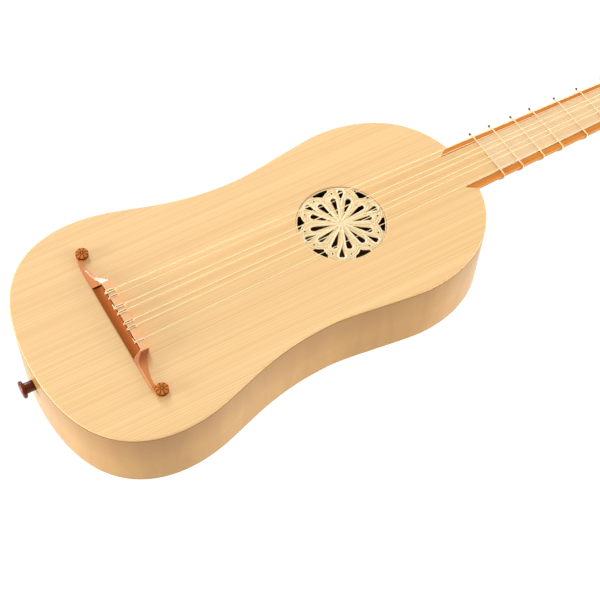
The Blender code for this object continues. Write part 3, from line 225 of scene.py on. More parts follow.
class GuitarColours(bpy.types.PropertyGroup):
    """Colours of the guitar's woods and gut."""
    spruce: tone("Spruce", "Early wood of the soundboard", "F8D197")
    spruce_line: tone("Spruce grain", "Late wood of the soundboard", "DFAE6E")
    spruce_edge: tone("Spruce edge", "Sawn edge of the soundboard", "D9A160")
    # Painted shade, nearly black: the ring under the rose and the walls down the rose's openings, so that
    # they look deep
    opening_shade: tone("Opening shade", "Depth of the rose's openings", "12070A")
    sycamore: tone("Sycamore", "Ribs, back, neck and head", "C89A54")
    sycamore_flame: tone("Sycamore flame", "Darker bars of the flamed wood", "B17D39")
    # Painted shade on the ribs, growing darker up towards the soundboard's edge
    sycamore_shade: tone("Sycamore edge", "Ribs just under the soundboard", "895C23")
    rose: tone("Rose wood", "Raised rims of the carved rose", "FFF3D2")
    # Painted shade in the rose's carved hollows, between the pale rims; also the bone's flecks
    rose_shade_and_bone_fleck: tone("Rose hollows", "The rose's carved hollows", "F8DCA4")
    pear: tone("Pear", "Steamed pear of the bridge", "D4843A")
    pear_dark: tone("Pear pores", "Darker streaks of the bridge", "BC6A30")
    # Painted shade: the bridge's hollow, the treble fall, the bass wing's tail slope and the shadows beside
    # the knots
    pear_shade: tone("Hollowed pear", "Where the pear is cut across its grain", "9C5018")
    # Painted highlight along the bridge's top, where the strings are tied
    pear_top_highlight: tone("Pear top highlight", "Top of the bridge, worn pale", "F6BC82")
    # Painted shade, darkest: the bottoms of the bridge's cuts, the flowers' sides, the hollow's end walls
    # and the step behind the strings
    cut_shade: tone("Cuts in the pear", "Bottoms of the cuts in the bridge", "3E160A")
    strip: tone("Edge strips", "Strips along the neck", "E48C2C")
    strip_dark: tone("Edge strip grain", "Grain of the strips", "C07024")
    maple: tone("Fingerboard", "Pale plate between the strips", "FBDCAE")
    maple_dark: tone("Fingerboard grain", "Grain of the fingerboard", "E6B88A")
    plum: tone("Plum", "Pegs and end button", "7E2A08")
    plum_dark: tone("Plum grain", "Dark grain of the pegs and end button", "3A0F02")
    willow: tone("Willow", "Blocks and linings inside the body", "DDBF90")
    bone: tone("Bone", "The nut", "F3EBD6")
    gut: tone("Gut", "Strings and frets", "FDE8B8")
    gut_dark: tone("Gut twist", "Darker lines of twisted gut", "EAD09A")
    burnt: tone("Burnt gut", "Ends of the fret knots", "2A1A12")
    floor: tone("Floor", "Pale floor under the guitar", "484848")


def sizes():
    return bpy.context.scene.guitar_sizes


# Materials

MATERIALS = {}


def add_node(tree, kind, settings=None, links=None):
    """Adds a node, sets its properties and inputs, and links inputs to output sockets."""
    node = tree.nodes.new(kind)
    for name, value in (settings or {}).items():
        if isinstance(name, int) or name in node.inputs:
            node.inputs[name].default_value = value
        else:
            setattr(node, name, value)
    for name, socket in (links or {}).items():
        tree.links.new(node.inputs[name], socket)
    return node


def start_material(name, constants):
    """New material whose shader has its constants set."""
    made = bpy.data.materials.new(name)
    made.use_nodes = True
    tree = made.node_tree
    shader = tree.nodes["Principled BSDF"]
    for socket, value in constants.items():
        shader.inputs[socket].default_value = value
    MATERIALS[name] = made
    return tree, shader


def streaks(tree, spans, low, high, share, source="Object", detail=2.0, distortion=0.0):
    """Noise whose features span so many millimetres along X, Y and Z, as a share from nil to its full."""
    place = add_node(tree, "ShaderNodeTexCoord")
    stretch = [1 / (span * MM) for span in spans]
    grain = add_node(tree, "ShaderNodeMapping", {"Scale": stretch}, {"Vector": place.outputs[source]})
    uneven = add_node(tree, "ShaderNodeTexNoise",
                      {"Scale": 1.0, "Detail": detail, "Distortion": distortion},
                      {"Vector": grain.outputs["Vector"]})
    part = add_node(tree, "ShaderNodeMapRange", {"From Min": low, "From Max": high, "To Max": share},
                    {"Value": uneven.outputs["Fac"]})
    return uneven.outputs["Fac"], part.outputs["Result"]


def growth_rings(tree, pitch, share):
    """Late wood so many millimetres apart across the board, stronger in some groups than in others."""
    place = add_node(tree, "ShaderNodeTexCoord")
    grain = add_node(tree, "ShaderNodeMapping", {"Scale": (0.02, 1, 0.02)},
                     {"Vector": place.outputs["Object"]})
    rings = add_node(tree, "ShaderNodeTexWave",
                     {"bands_direction": "Y", "wave_profile": "SAW", "Scale": TURN / (20 * pitch * MM),
                      "Distortion": 2.5, "Detail": 2.0, "Detail Scale": 1.0},
                     {"Vector": grain.outputs["Vector"]})
    _, groups = streaks(tree, (700, 14, 60), 0.35, 0.7, share)
    part = add_node(tree, "ShaderNodeMapRange", {"From Min": 0.35},
                    {"Value": rings.outputs["Fac"], "To Max": groups})
    return part.outputs["Result"]


def blended(tree, base, over, share):
    """Mixes a colour, or a socket of one, towards another colour."""
    settings = {"data_type": "RGBA", 7: (*over, 1)}
    links = {0: share}
    if isinstance(base, bpy.types.NodeSocket):
        links[6] = base
    else:
        settings[6] = (*base, 1)
    return add_node(tree, "ShaderNodeMix", settings, links).outputs[2]


def by_height(tree, socket, over, low, high, share):
    """Mixes a colour towards another between two heights of the object."""
    place = add_node(tree, "ShaderNodeTexCoord")
    height = add_node(tree, "ShaderNodeSeparateXYZ", {}, {"Vector": place.outputs["Object"]})
    part = add_node(tree, "ShaderNodeMapRange", {"From Min": low, "From Max": high, "To Max": share},
                    {"Value": height.outputs["Z"]})
    return blended(tree, socket, over, part.outputs["Result"])


def wood(name, pale, dark, grain, slow, roughness, bump=0.1, coat=0.0, flame=None, painted=(),
         edge=None, source="Object", rings=None, shine=0.3):
    """Planed and finished wood: fine lines along the grain over a slow change of tone.

    grain, slow and flame give the span of their features in millimetres along each axis and their
    strength; rings gives the growth rings' pitch and strength; painted gives colours of painted shade for
    the depth that a piece holds as an attribute, each with the depth where it is full; edge gives a colour
    with the heights from which and to which it comes in: the spruce's darker side, painted shade on the
    ribs and a painted highlight on the bridge's top.
    """
    tree, shader = start_material(name, {"Roughness": roughness, "IOR": 1.5, "Coat Weight": coat,
                                         "Coat Roughness": 0.16, "Specular IOR Level": shine})
    lines, line_share = streaks(tree, grain[0], 0.4, 0.62, grain[1], source, detail=3.0)
    _, slow_share = streaks(tree, slow[0], 0.36, 0.68, slow[1], source)
    socket = blended(tree, pale, dark, line_share)
    socket = blended(tree, socket, dark, slow_share)
    if rings:
        socket = blended(tree, socket, dark, growth_rings(tree, *rings))
    if flame:
        _, flame_share = streaks(tree, flame[0], 0.38, 0.64, flame[1], source, distortion=0.6)
        socket = blended(tree, socket, flame[2], flame_share)
    if edge:
        socket = by_height(tree, socket, *edge)
    # Painted shade from the depth attribute
    from_depth = 0.0
    for over, depth in painted:
        cut = add_node(tree, "ShaderNodeAttribute", {"attribute_name": "depth"})
        part = add_node(tree, "ShaderNodeMapRange", {"From Min": from_depth, "From Max": depth},
                        {"Value": cut.outputs["Fac"]})
        socket = blended(tree, socket, over, part.outputs["Result"])
        from_depth = depth
    tree.links.new(shader.inputs["Base Color"], socket)
    relief = add_node(tree, "ShaderNodeBump", {"Strength": bump, "Distance": 0.1 * MM}, {"Height": lines})
    tree.links.new(shader.inputs["Normal"], relief.outputs["Normal"])


def make_materials():
    tones = bpy.context.scene.guitar_colours
    # Spruce, planed and oiled: close straight grain, drawn 2 mm apart as the photograph shows it, in
    # groups of stronger lines, and a sawn side drawn darker from just under its top
    wood("Oiled spruce", tones.spruce, tones.spruce_line, ((300, 1.3, 40), 0.3), ((700, 45, 60), 0.12),
         0.55, 0.08, edge=(tones.spruce_edge, BOARD_TOP - 0.3 * MM, BOARD_TOP - 0.9 * MM, 1.0),
         rings=(2.1, 0.55))
    # Spruce left bare inside the body: the bars' grain stands upright
    wood("Bare spruce", tones.spruce, tones.spruce_line, ((1.7, 120, 3.3), 0.6), ((16, 500, 16), 0.3), 0.75,
         0.2)
    # Spruce ring under the rose, painted dark as shade so that the openings look deep
    wood("Shade-painted spruce", tones.opening_shade, tones.opening_shade, ((1.7, 120, 3.3), 0.6), ((16, 500, 16), 0.3), 0.8, 0.2)
    # Flamed sycamore under a thin bright varnish: soft bars across fine flecks
    wood("Varnished sycamore", tones.sycamore, tones.sycamore_flame, ((50, 2, 2), 0.25),
         ((300, 30, 30), 0.25), 0.34, 0.06, coat=0.4, flame=((9, 80, 100), 0.5, tones.sycamore_flame))
    # The ribs darken up towards the soundboard: painted shade under its edge
    wood("Varnished sycamore ribs", tones.sycamore, tones.sycamore_flame, ((50, 1.4, 1.4), 0.18),
         ((140, 90, 250), 0.45), 0.36, 0.05, coat=0.2, flame=((15, 90, 120), 0.4, tones.sycamore_flame),
         edge=(tones.sycamore_shade, RIB_TOP - 35 * MM, RIB_TOP, 0.5), source="UV")
    # Pale pear of the rose, cut with a knife and left clean, its shade painted by height: cream on the
    # rims, tan in the hollows and nearly black down inside the openings
    wood("Cut pear", tones.rose, tones.rose_shade_and_bone_fleck, ((5, 2, 5), 0.1), ((33, 16, 33), 0.1), 0.45, 0.08,
         painted=((tones.rose_shade_and_bone_fleck, 0.5), (tones.opening_shade, 1.0)))
    # Steamed pear of the bridge, brought to a shine by rubbing, with a painted highlight on top, where the
    # strings are tied; dull where it is cut across its grain, with painted shade there and in its cuts
    for name, roughness, coat, shine in (("Steamed pear", 0.3, 0.8, 0.3),
                                         ("Hollowed pear", 0.6, 0.0, 0.1)):
        wood(name, tones.pear, tones.pear_dark, ((1.1, 25, 1.1), 0.35), ((11, 70, 11), 0.35), roughness,
             coat=coat, painted=((tones.pear_shade, 0.5), (tones.cut_shade, 1.0)),
             edge=(tones.pear_top_highlight, BRIDGE_HIGH.z - 0.7 * MM, BRIDGE_HIGH.z - 0.3 * MM, 0.85), shine=shine)
    # Plum of the edge strips: orange brown, finely lined, with a soft shine
    wood("Plum strips", tones.strip, tones.strip_dark, ((70, 1.4, 3.3), 0.5), ((250, 7, 16), 0.5), 0.36,
         0.08, coat=0.15)
    # Maple of the fingerboard: pale, even and slightly pink
    wood("Oiled maple", tones.maple, tones.maple_dark, ((80, 1.6, 5), 0.4), ((250, 12, 33), 0.3), 0.42,
         0.06)
    # Dark plum turned on the lathe and polished: grain runs along the pegs, and along the button
    wood("Turned plum pegs", tones.plum, tones.plum_dark, ((1.4, 1.4, 16), 0.6), ((8, 8, 80), 0.6),
         0.3, 0.06, coat=0.4)
    wood("Turned plum button", tones.plum, tones.plum_dark, ((16, 1.4, 1.4), 0.6), ((80, 8, 8), 0.6),
         0.36, 0.06, coat=0.25)
    # Willow of the blocks and linings, sawn and left bare
    wood("Bare willow", tones.willow, tones.spruce_line, ((80, 2.5, 2.5), 0.5), ((250, 25, 25), 0.3), 0.8,
         0.2)
    make_bone(tones)
    make_gut(tones)
    make_floor(tones)


def make_bone(tones):
    """Polished bone: nearly even, with faint flecks 0.4 mm across and a waxy depth."""
    tree, shader = start_material("Polished bone", {"Roughness": 0.3, "Subsurface Weight": 0.15,
                                                    "Subsurface Scale": 1.0 * MM})
    _, share = streaks(tree, (2.5, 0.4, 0.4), 0.5, 0.9, 0.25)
    tree.links.new(shader.inputs["Base Color"], blended(tree, tones.bone, tones.rose_shade_and_bone_fleck, share))


def make_gut(tones):
    """Twisted gut: pale and bright, with the twist as fine darker lines, and its burnt ends."""
    tree, shader = start_material("Twisted gut", {"Roughness": 0.3, "Subsurface Weight": 0.15,
                                                  "Subsurface Scale": 0.5 * MM})
    lines, share = streaks(tree, (1.1, 0.4, 0.4), 0.45, 0.8, 0.3)
    tree.links.new(shader.inputs["Base Color"], blended(tree, tones.gut, tones.gut_dark, share))
    relief = add_node(tree, "ShaderNodeBump", {"Strength": 0.1, "Distance": 0.05 * MM}, {"Height": lines})
    tree.links.new(shader.inputs["Normal"], relief.outputs["Normal"])
    tree, shader = start_material("Burnt gut", {"Roughness": 0.55})
    _, share = streaks(tree, (0.3, 0.3, 0.3), 0.3, 0.7, 0.8)
    tree.links.new(shader.inputs["Base Color"], blended(tree, tones.burnt, tones.plum_dark, share))


def make_floor(tones):
    """Matt white card, lit so brightly that no shadow shows on it."""
    tree, shader = start_material("Matt white card", {"Roughness": 0.9, "Emission Color": (1, 1, 1, 1),
                                                      "Emission Strength": 0.98})
    _, share = streaks(tree, (25, 25, 25), 0.3, 0.7, 0.5)
    tree.links.new(shader.inputs["Base Color"], blended(tree, tones.floor, (0.05, 0.05, 0.05), share))


# Shapes and pieces

def clamped(share):
    return min(1.0, max(0.0, share))


def gather(shapes):
    """Several shapes as one."""
    whole = bmesh.new()
    for shape in shapes:
        mesh = bpy.data.meshes.new("part")
        shape.to_mesh(mesh)
        shape.free()
        whole.from_mesh(mesh)
        bpy.data.meshes.remove(mesh)
    return whole


def add_object(name, shape):
    """New object in the scene, which takes a shape over."""
    mesh = bpy.data.meshes.new(name)
    shape.to_mesh(mesh)
    shape.free()
    made = bpy.data.objects.new(name, mesh)
    bpy.context.scene.collection.objects.link(made)
    return made


def carve(shape, tool, operation="DIFFERENCE"):
    """Cuts one closed shape out of another, or joins the two."""
    blank, cutter = add_object("part", shape), add_object("part", tool)
    modifier = blank.modifiers.new("Cut", "BOOLEAN")
    modifier.operation = operation
    modifier.solver = "MANIFOLD"
    modifier.object = cutter
    bpy.context.view_layer.update()
    seen = blank.evaluated_get(bpy.context.evaluated_depsgraph_get())
    result = bmesh.new()
    result.from_mesh(seen.to_mesh())
    seen.to_mesh_clear()
    for part in (blank, cutter):
        mesh = part.data
        bpy.data.objects.remove(part, do_unlink=True)
        bpy.data.meshes.remove(mesh)
    bmesh.ops.remove_doubles(result, verts=result.verts, dist=WELD)
    return result


def place_piece(name, shape, finishes, nodes, body="guitar", sharp=30):
    """Makes a piece of a shape. It rides on its body and stands for its nodes."""
    piece = add_object(name, shape)
    piece.data.shade_smooth()
    piece.data.set_sharp_from_angle(angle=math.radians(sharp))
    for finish in finishes:
        piece.data.materials.append(MATERIALS[finish])
    even = piece.modifiers.new("Even shading", "WEIGHTED_NORMAL")
    even.keep_sharp = True
    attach(piece, body)
    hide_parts(*nodes)


def board(loops, low, high, arris=0.0, segments=3):
    """Board sawn to closed outlines, holes among them, with all its arrises eased."""
    shape = bmesh.new()
    for loop in loops:
        verts = [shape.verts.new((place[0], place[1], low)) for place in loop]
        for pair in zip(verts, verts[1:] + verts[:1]):
            shape.edges.new(pair)
    bmesh.ops.triangle_fill(shape, use_beauty=True, edges=shape.edges[:])
    raised = bmesh.ops.extrude_face_region(shape, geom=shape.faces[:])
    top = [item for item in raised["geom"] if isinstance(item, bmesh.types.BMVert)]
    bmesh.ops.translate(shape, verts=top, vec=(0, 0, high - low))
    bmesh.ops.recalc_face_normals(shape, faces=shape.faces)
    if arris:
        for level in (low, high):
            flat = [face for face in shape.faces
                    if all(abs(vert.co.z - level) < WELD for vert in face.verts)]
            bmesh.ops.inset_region(shape, faces=flat, thickness=1.5 * arris, use_boundary=True,
                                   use_even_offset=True)
        rim = [edge for edge in shape.edges
               if edge.is_manifold and edge.calc_face_angle() > math.radians(60)
               and abs(edge.verts[0].co.z - edge.verts[1].co.z) < WELD]
        bmesh.ops.bevel(shape, geom=rim, offset=arris, offset_type="OFFSET", segments=segments,
                        profile=0.5, affect="EDGES", material=-1, clamp_overlap=True)
    return shape


def rod(start, end, radius, steps=24, end_radius=None):
    """Round bar, or a cone, between two points."""
    start, end = Vector(start), Vector(end)
    along = end - start
    turn = Vector((0, 0, 1)).rotation_difference(along).to_matrix().to_4x4()
    shape = bmesh.new()
    bmesh.ops.create_cone(shape, cap_ends=True, segments=steps, radius1=radius,
                          radius2=radius if end_radius is None else end_radius, depth=along.length,
                          matrix=Matrix.Translation((start + end) / 2) @ turn)
    return shape


def turned(profile, steps=72):
    """Lathe work about Z: points of radius and height, from the top down."""
    shape = bmesh.new()
    verts = [shape.verts.new((radius, 0, height)) for radius, height in profile]
    edges = [shape.edges.new(pair) for pair in zip(verts, verts[1:])]
    bmesh.ops.spin(shape, geom=verts + edges, cent=(0, 0, 0), axis=(0, 0, 1), angle=TURN, steps=steps,
                   use_merge=True)
    bmesh.ops.remove_doubles(shape, verts=shape.verts, dist=WELD)
    bmesh.ops.recalc_face_normals(shape, faces=shape.faces)
    return shape


def round_edge(radius, height, reach, sweep, steps):
    """Points of a lathe profile round a centre at a radius and a height, from straight above it."""
    angles = [sweep * i / steps for i in range(steps + 1)]
    return [(radius + reach * math.sin(angle), height + reach * math.cos(angle)) for angle in angles]


def lofted(sections):
    """Closed shape through cross sections, which all have as many points."""
    shape = bmesh.new()
    rings = []
    for section in sections:
        ring = [shape.verts.new(place) for place in section]
        rings.append([shape.edges.new(pair) for pair in zip(ring, ring[1:] + ring[:1])])
    for first, second in zip(rings, rings[1:]):
        bmesh.ops.bridge_loops(shape, edges=first + second)
    bmesh.ops.holes_fill(shape, edges=rings[0] + rings[-1], sides=0)
    bmesh.ops.recalc_face_normals(shape, faces=shape.faces)
    return shape


def cord(route, diameter, closed=False, resolution=4):
    """Round gut, or a raised bead, along a route."""
    data = bpy.data.curves.new("cord", "CURVE")
    data.dimensions = "3D"
    data.bevel_depth = diameter / 2
    data.bevel_resolution = resolution
    data.use_fill_caps = not closed
    spline = data.splines.new("POLY")
    spline.points.add(len(route) - 1)
    spline.use_cyclic_u = closed
    for point, place in zip(spline.points, route):
        point.co = (*place, 1)
    obj = bpy.data.objects.new("cord", data)
    bpy.context.scene.collection.objects.link(obj)
    bpy.context.view_layer.update()
    mesh = bpy.data.meshes.new_from_object(obj.evaluated_get(bpy.context.evaluated_depsgraph_get()))
    shape = bmesh.new()
    shape.from_mesh(mesh)
    bmesh.ops.remove_doubles(shape, verts=shape.verts, dist=WELD)
    bmesh.ops.recalc_face_normals(shape, faces=shape.faces)
    bpy.data.objects.remove(obj, do_unlink=True)
    bpy.data.meshes.remove(mesh)
    bpy.data.curves.remove(data)
    return shape


def bezier(start, start_handle, end_handle, end, steps):
    """Points of one smooth curve, without its last one."""
    ends = [Vector(start), Vector(start_handle), Vector(end_handle), Vector(end)]
    return interpolate_bezier(*ends, steps + 1)[:-1]


def rounded(points, radius, steps=6):
    """Route whose corners are rounded, each by no more than half of the shorter run beside it."""
    points = [Vector(point) for point in points]
    route = [points[0]]
    for before, here, after in zip(points, points[1:], points[2:]):
        back, ahead = before - here, after - here
        reach = min(radius, back.length / 2, ahead.length / 2)
        start, end = here + back.normalized() * reach, here + ahead.normalized() * reach
        route += interpolate_bezier(start, start.lerp(here, 0.6), end.lerp(here, 0.6), end, steps + 1)
    return route + [points[-1]]


def mirrored(half):
    """Closed outline from its bass half, whose first and last points lie on the centre line."""
    return [tuple(p) for p in half] + [(p[0], -p[1]) for p in reversed(half[1:-1])]


def treble_side(loop):
    return [(p[0], -p[1]) for p in reversed(loop)]


def circle(centre, radius, steps):
    x, y = centre
    angles = [TURN * i / steps for i in range(steps)]
    return [(x + radius * math.cos(angle), y + radius * math.sin(angle)) for angle in angles]


def across(points, y):
    """X of a line of points at a distance from the centre line."""
    for first, second in zip(points, points[1:]):
        if min(first[1], second[1]) <= y <= max(first[1], second[1]):
            share = (y - first[1]) / ((second[1] - first[1]) or 1)
            return first[0] + share * (second[0] - first[0])
    return points[-1][0] if abs(y - points[-1][1]) < abs(y - points[0][1]) else points[0][0]


# Plan of the body and of the neck

def half_outline(inset=0.0, steps=30):
    """Bass half of the body's plan from the tail to the neck, moved in by inset."""
    size = sizes()
    along, out = Vector((1, 0)), Vector((0, 1))
    tail, neck = Vector((TAIL_X, 0)), Vector((JOINT_X, 0))
    lower = Vector((TAIL_X + size.lower_bout_at, BODY_HALF))
    waist = Vector((TAIL_X + size.waist_at, size.waist_width / 2))
    upper = Vector((TAIL_X + size.upper_at, size.upper_width / 2))
    points = bezier(tail, tail + out * size.tail_fullness, lower - along * size.lower_to_tail, lower, steps)
    points += bezier(lower, lower + along * size.lower_to_waist,
                     waist - along * size.waist_to_lower, waist, steps)
    points += bezier(waist, waist + along * size.waist_to_upper,
                     upper - along * size.upper_to_waist, upper, steps)
    points += bezier(upper, upper + along * size.upper_to_neck,
                     neck + out * size.neck_fullness, neck, steps)
    points.append(neck)
    moved = []
    for i, point in enumerate(points):
        before, after = points[max(i - 1, 0)], points[min(i + 1, len(points) - 1)]
        tangent = (after - before).normalized()
        if i in (0, len(points) - 1):
            tangent = out if i == 0 else -out
        moved.append(Vector((point.x + inset * tangent.y, point.y - inset * tangent.x)))
    return moved


def clipped(points, tail_y, neck_y):
    """Part of a half outline that lies further out than tail_y at the tail and neck_y at the neck."""
    first = next(i for i, p in enumerate(points) if p.y > tail_y)
    last = next(i for i in range(len(points) - 1, -1, -1) if points[i].y > neck_y)
    start = Vector((across(points[first - 1:first + 1], tail_y), tail_y))
    end = Vector((across(points[last:last + 2], neck_y), neck_y))
    return [start] + points[first:last + 1] + [end]


def neck_half(x):
    size = sizes()
    share = (x - JOINT_X) / (NUT_X - JOINT_X)
    return (size.neck_width_body + share * (size.neck_width_nut - size.neck_width_body)) / 2


def strip_inner(x):
    return neck_half(x) - sizes().strip_width


def shoulder_x():
    """X where the body's plan meets the side of the neck."""
    points = half_outline()
    return next(second.x for second in reversed(points) if second.y > neck_half(second.x))


# Body

class GUITAR_OT_soundboard(bpy.types.Operator):
    """Saw out the soundboard with the rose's hole and its tongue between the neck's strips"""
    bl_idname = "guitar.soundboard"
    bl_label = "Soundboard"

    def execute(self, context):
        size = sizes()
        corner = shoulder_x()
        notch_x = corner - size.strip_mitre - GLUE - 2 * GLUE * size.strip_mitre / size.strip_width
        tongue_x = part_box("fingerboard")[0].x - GLUE
        edge = clipped(half_outline(), 0.0, neck_half(corner) + GLUE)
        edge += [(notch_x, strip_inner(notch_x) - GLUE), (tongue_x, strip_inner(tongue_x) - GLUE),
                 (tongue_x, 0)]
        hole = circle((ROSE_X, 0), ROSE_RADIUS + GLUE / 3, 120)
        plate = board([mirrored(edge), hole], BOARD_LOW, BOARD_TOP, size.arris)
        place_piece("spruce_top", plate, ["Oiled spruce"], ["soundboard"])
        return {"FINISHED"}


class GUITAR_OT_back(bpy.types.Operator):
    """Saw out the flat back"""
    bl_idname = "guitar.back"
    bl_label = "Back"

    def execute(self, context):
        plate = board([mirrored(half_outline())], 0.0, BACK_HIGH.z, sizes().arris)
        place_piece("flat_back", plate, ["Varnished sycamore"], ["back"])
        return {"FINISHED"}


class GUITAR_OT_ribs(bpy.types.Operator):
    """Bend the two ribs, which meet at the tail and under the heel"""
    bl_idname = "guitar.ribs"
    bl_label = "Ribs"
    glue = GLUE / 4                # thin glue line round a rib

    def execute(self, context):
        for side, name in ((1, "bass"), (-1, "treble")):
            place_piece(f"bent_rib_{name}", self.rib(side), ["Varnished sycamore ribs"],
                        [f"rib_{name}"])
        return {"FINISHED"}

    def rib(self, side):
        """One bent rib, with a UV map in metres whose U runs along it and V up it."""
        size = sizes()
        outer = clipped(half_outline(), self.glue, self.glue)
        inner = clipped(half_outline(size.rib_thickness), self.glue, self.glue)
        runs = [0.0]
        for first, second in zip(outer, outer[1:]):
            runs.append(runs[-1] + (second - first).length)
        loop = outer + inner[::-1]
        shape = board([loop if side == 1 else treble_side(loop)], BACK_HIGH.z + self.glue,
                      BOARD_LOW - self.glue)
        middle = (BUTTON_LOW.z + BUTTON_HIGH.z) / 2
        drill = rod((BUTTON_LOW.x, 0, middle), (BUTTON_HIGH.x, 0, middle), size.button_pin_radius + GLUE)
        shape = carve(shape, drill)
        tree = kdtree.KDTree(len(outer))
        for i, point in enumerate(outer):
            tree.insert((point.x, point.y, 0), i)
        tree.balance()
        grain = shape.loops.layers.uv.new("Grain")
        for face in shape.faces:
            for corner in face.loops:
                place = corner.vert.co
                nearest = tree.find((place.x, abs(place.y), 0))[1]
                corner[grain].uv = (side * runs[nearest], place.z)
        return shape


# Rose

class GUITAR_OT_rose(bpy.types.Operator):
    """Carve the pierced rose: openings with raised rims, petals, lobes and spokes"""
    bl_idname = "guitar.rose"
    bl_label = "Rose"
    lobes = 6
    # Measures in bead sizes: how far the carved face lies under the highest bead, and the bead height
    # over which the hollows' painted shade gives way to the rims' pale colour
    face_drop = 1.2
    tone_rise = 1.1
    # Beads round the openings, in bead sizes: how far outside the opening they run, and their radius
    long_bead = (1.3, 1.2)
    short_bead = (1.25, 1.15)
    eye_bead = (0.75, 0.6)
    corner_bead = (0.8, 0.6)
    # The rim's bead in bead sizes: how far inside the rim, and its radius. Other lines have the thin one.
    rim_bead = (0.6, 0.55)
    thin_bead = 0.75
    # The two beads of a lobe: how far inside its outer line, and the radius in bead sizes
    lobe_beads = ((0.0, 0.8), (1.75 * MM, 0.7))
    petal_line = 2.35 * MM         # from a long opening out to the line of its petal
    corner_edge = 1.55             # bead sizes from the rim to a corner opening
    corner_gap = 0.35 * MM         # from a lobe's outer line to a corner opening

    def execute(self, context):
        size = sizes()
        self.face = ROSE_HIGH.z - self.face_drop * size.bead
        lobe_turn = TURN / self.lobes
        openings, beads = [], []
        for lobe in range(self.lobes):
            axis = lobe * lobe_turn
            between = axis + lobe_turn / 2
            for turn in (axis - lobe_turn / 4, axis + lobe_turn / 4):
                petal = (size.petal_tip, size.petal_end, size.petal_radius, turn)
                openings.append(self.tear(*petal))
                beads.append(self.bead(self.tear(*petal, self.long_bead[0]), self.long_bead[1]))
                line = (size.petal_tip / 3, size.petal_end, size.petal_radius + self.petal_line, turn)
                beads.append(self.bead(self.tear(*line), self.thin_bead))
            short = (size.tear_tip, size.tear_end, size.tear_radius, axis)
            openings.append(self.tear(*short))
            beads.append(self.bead(self.tear(*short, self.short_bead[0]), self.short_bead[1]))
            for turn in (axis - size.eye_turn, axis + size.eye_turn):
                eye = self.ray(size.eye_at, turn)
                openings.append(circle(eye, size.eye_radius, 14))
                ring = circle(eye, size.eye_radius + size.bead * self.eye_bead[0], 20)
                beads.append(self.bead(ring, self.eye_bead[1], closed=True))
            openings.append(self.corner(between, 0.0))
            ring = self.corner(between, self.corner_bead[0])
            beads.append(self.bead(ring, self.corner_bead[1], closed=True))
            for inside, share in self.lobe_beads:
                beads.append(self.bead(self.arc(axis, size.lobe_radius - inside), share))
            for turn, end in ((axis, size.tear_tip - 1.5 * MM), (between, size.lobe_centre * 1.32)):
                spoke = [self.ray(size.petal_tip / 4, turn), self.ray(end, turn)]
                beads.append(self.bead(spoke, self.thin_bead))
        rim = circle((ROSE_X, 0), ROSE_RADIUS - self.rim_bead[0] * size.bead, 120)
        beads.append(self.bead(rim, self.rim_bead[1], closed=True))
        plate = board([circle((ROSE_X, 0), ROSE_RADIUS, 120)] + openings, ROSE_LOW.z, self.face)
        shape = gather([plate, self.boss()] + beads)
        # Painted shade by height: tan on the carved face, none on the beads' tops and full down the
        # openings' walls
        layer = shape.verts.layers.float.new("depth")
        for vert in shape.verts:
            rise = min(1.0, (vert.co.z - self.face) / (self.tone_rise * size.bead))
            vert[layer] = 0.5 - 0.5 * rise if rise > -0.01 else 1.0
        place_piece("carved_rose", shape, ["Cut pear"], ["rose_tracery"], sharp=50)
        return {"FINISHED"}

    def boss(self):
        """Low round knob in the rose's middle."""
        size = sizes()
        radius, height = size.petal_tip * 0.3, size.bead * 0.9
        profile = [(radius * math.sin(angle), height * math.cos(angle))
                   for angle in (0, 0.3, 0.6, 0.9, 1.2, 1.5)]
        knob = turned(profile + [(0, 0)], 24)
        bmesh.ops.translate(knob, verts=knob.verts, vec=(ROSE_X, 0, self.face))
        return knob

    @staticmethod
    def ray(radius, turn):
        return (ROSE_X + radius * math.cos(turn), radius * math.sin(turn))

    def tear(self, tip, end, end_radius, turn, margin=0.0, steps=18):
        """Tear-shaped line round an opening, or so many bead sizes outside it, from its point and back."""
        margin *= sizes().bead
        lean = math.asin(end_radius / (end - tip))
        tip -= margin / math.sin(lean)
        centre = Vector(self.ray(end, turn))
        points = [self.ray(max(tip, 2.5 * MM), turn)]
        for i in range(steps + 1):
            swing = turn - (math.pi / 2 + lean) + (math.pi + 2 * lean) * i / steps
            reach = (end_radius + margin) * Vector((math.cos(swing), math.sin(swing)))
            points.append(tuple(centre + reach))
        return points

    def corner(self, turn, margin):
        """Curved triangle at the rim between two lobes, or a line so many bead sizes outside it."""
        size = sizes()
        margin *= size.bead
        outer = ROSE_RADIUS - self.corner_edge * size.bead + margin
        spread = size.corner_turn + margin / outer
        points = [self.ray(outer, turn + spread * share) for share in (-1, -0.5, 0, 0.5, 1)]
        reach = size.lobe_radius + self.corner_gap - margin
        half = math.pi / self.lobes
        tip = size.lobe_centre * math.cos(half)
        tip += math.sqrt(reach ** 2 - (size.lobe_centre * math.sin(half)) ** 2)
        sides = []
        for lobe, start in ((turn + half, points[-1]), (turn - half, points[0])):
            centre = Vector(self.ray(size.lobe_centre, lobe))
            start = (Vector(start) - centre).normalized()
            end = (Vector(self.ray(tip, turn)) - centre).normalized()
            shares = (0.2, 0.4, 0.6, 0.8) if lobe > turn else (0.8, 0.6, 0.4, 0.2)
            sides.append([tuple(centre + start.slerp(end, share) * reach) for share in shares])
        return points + sides[0] + [self.ray(tip, turn)] + sides[1]

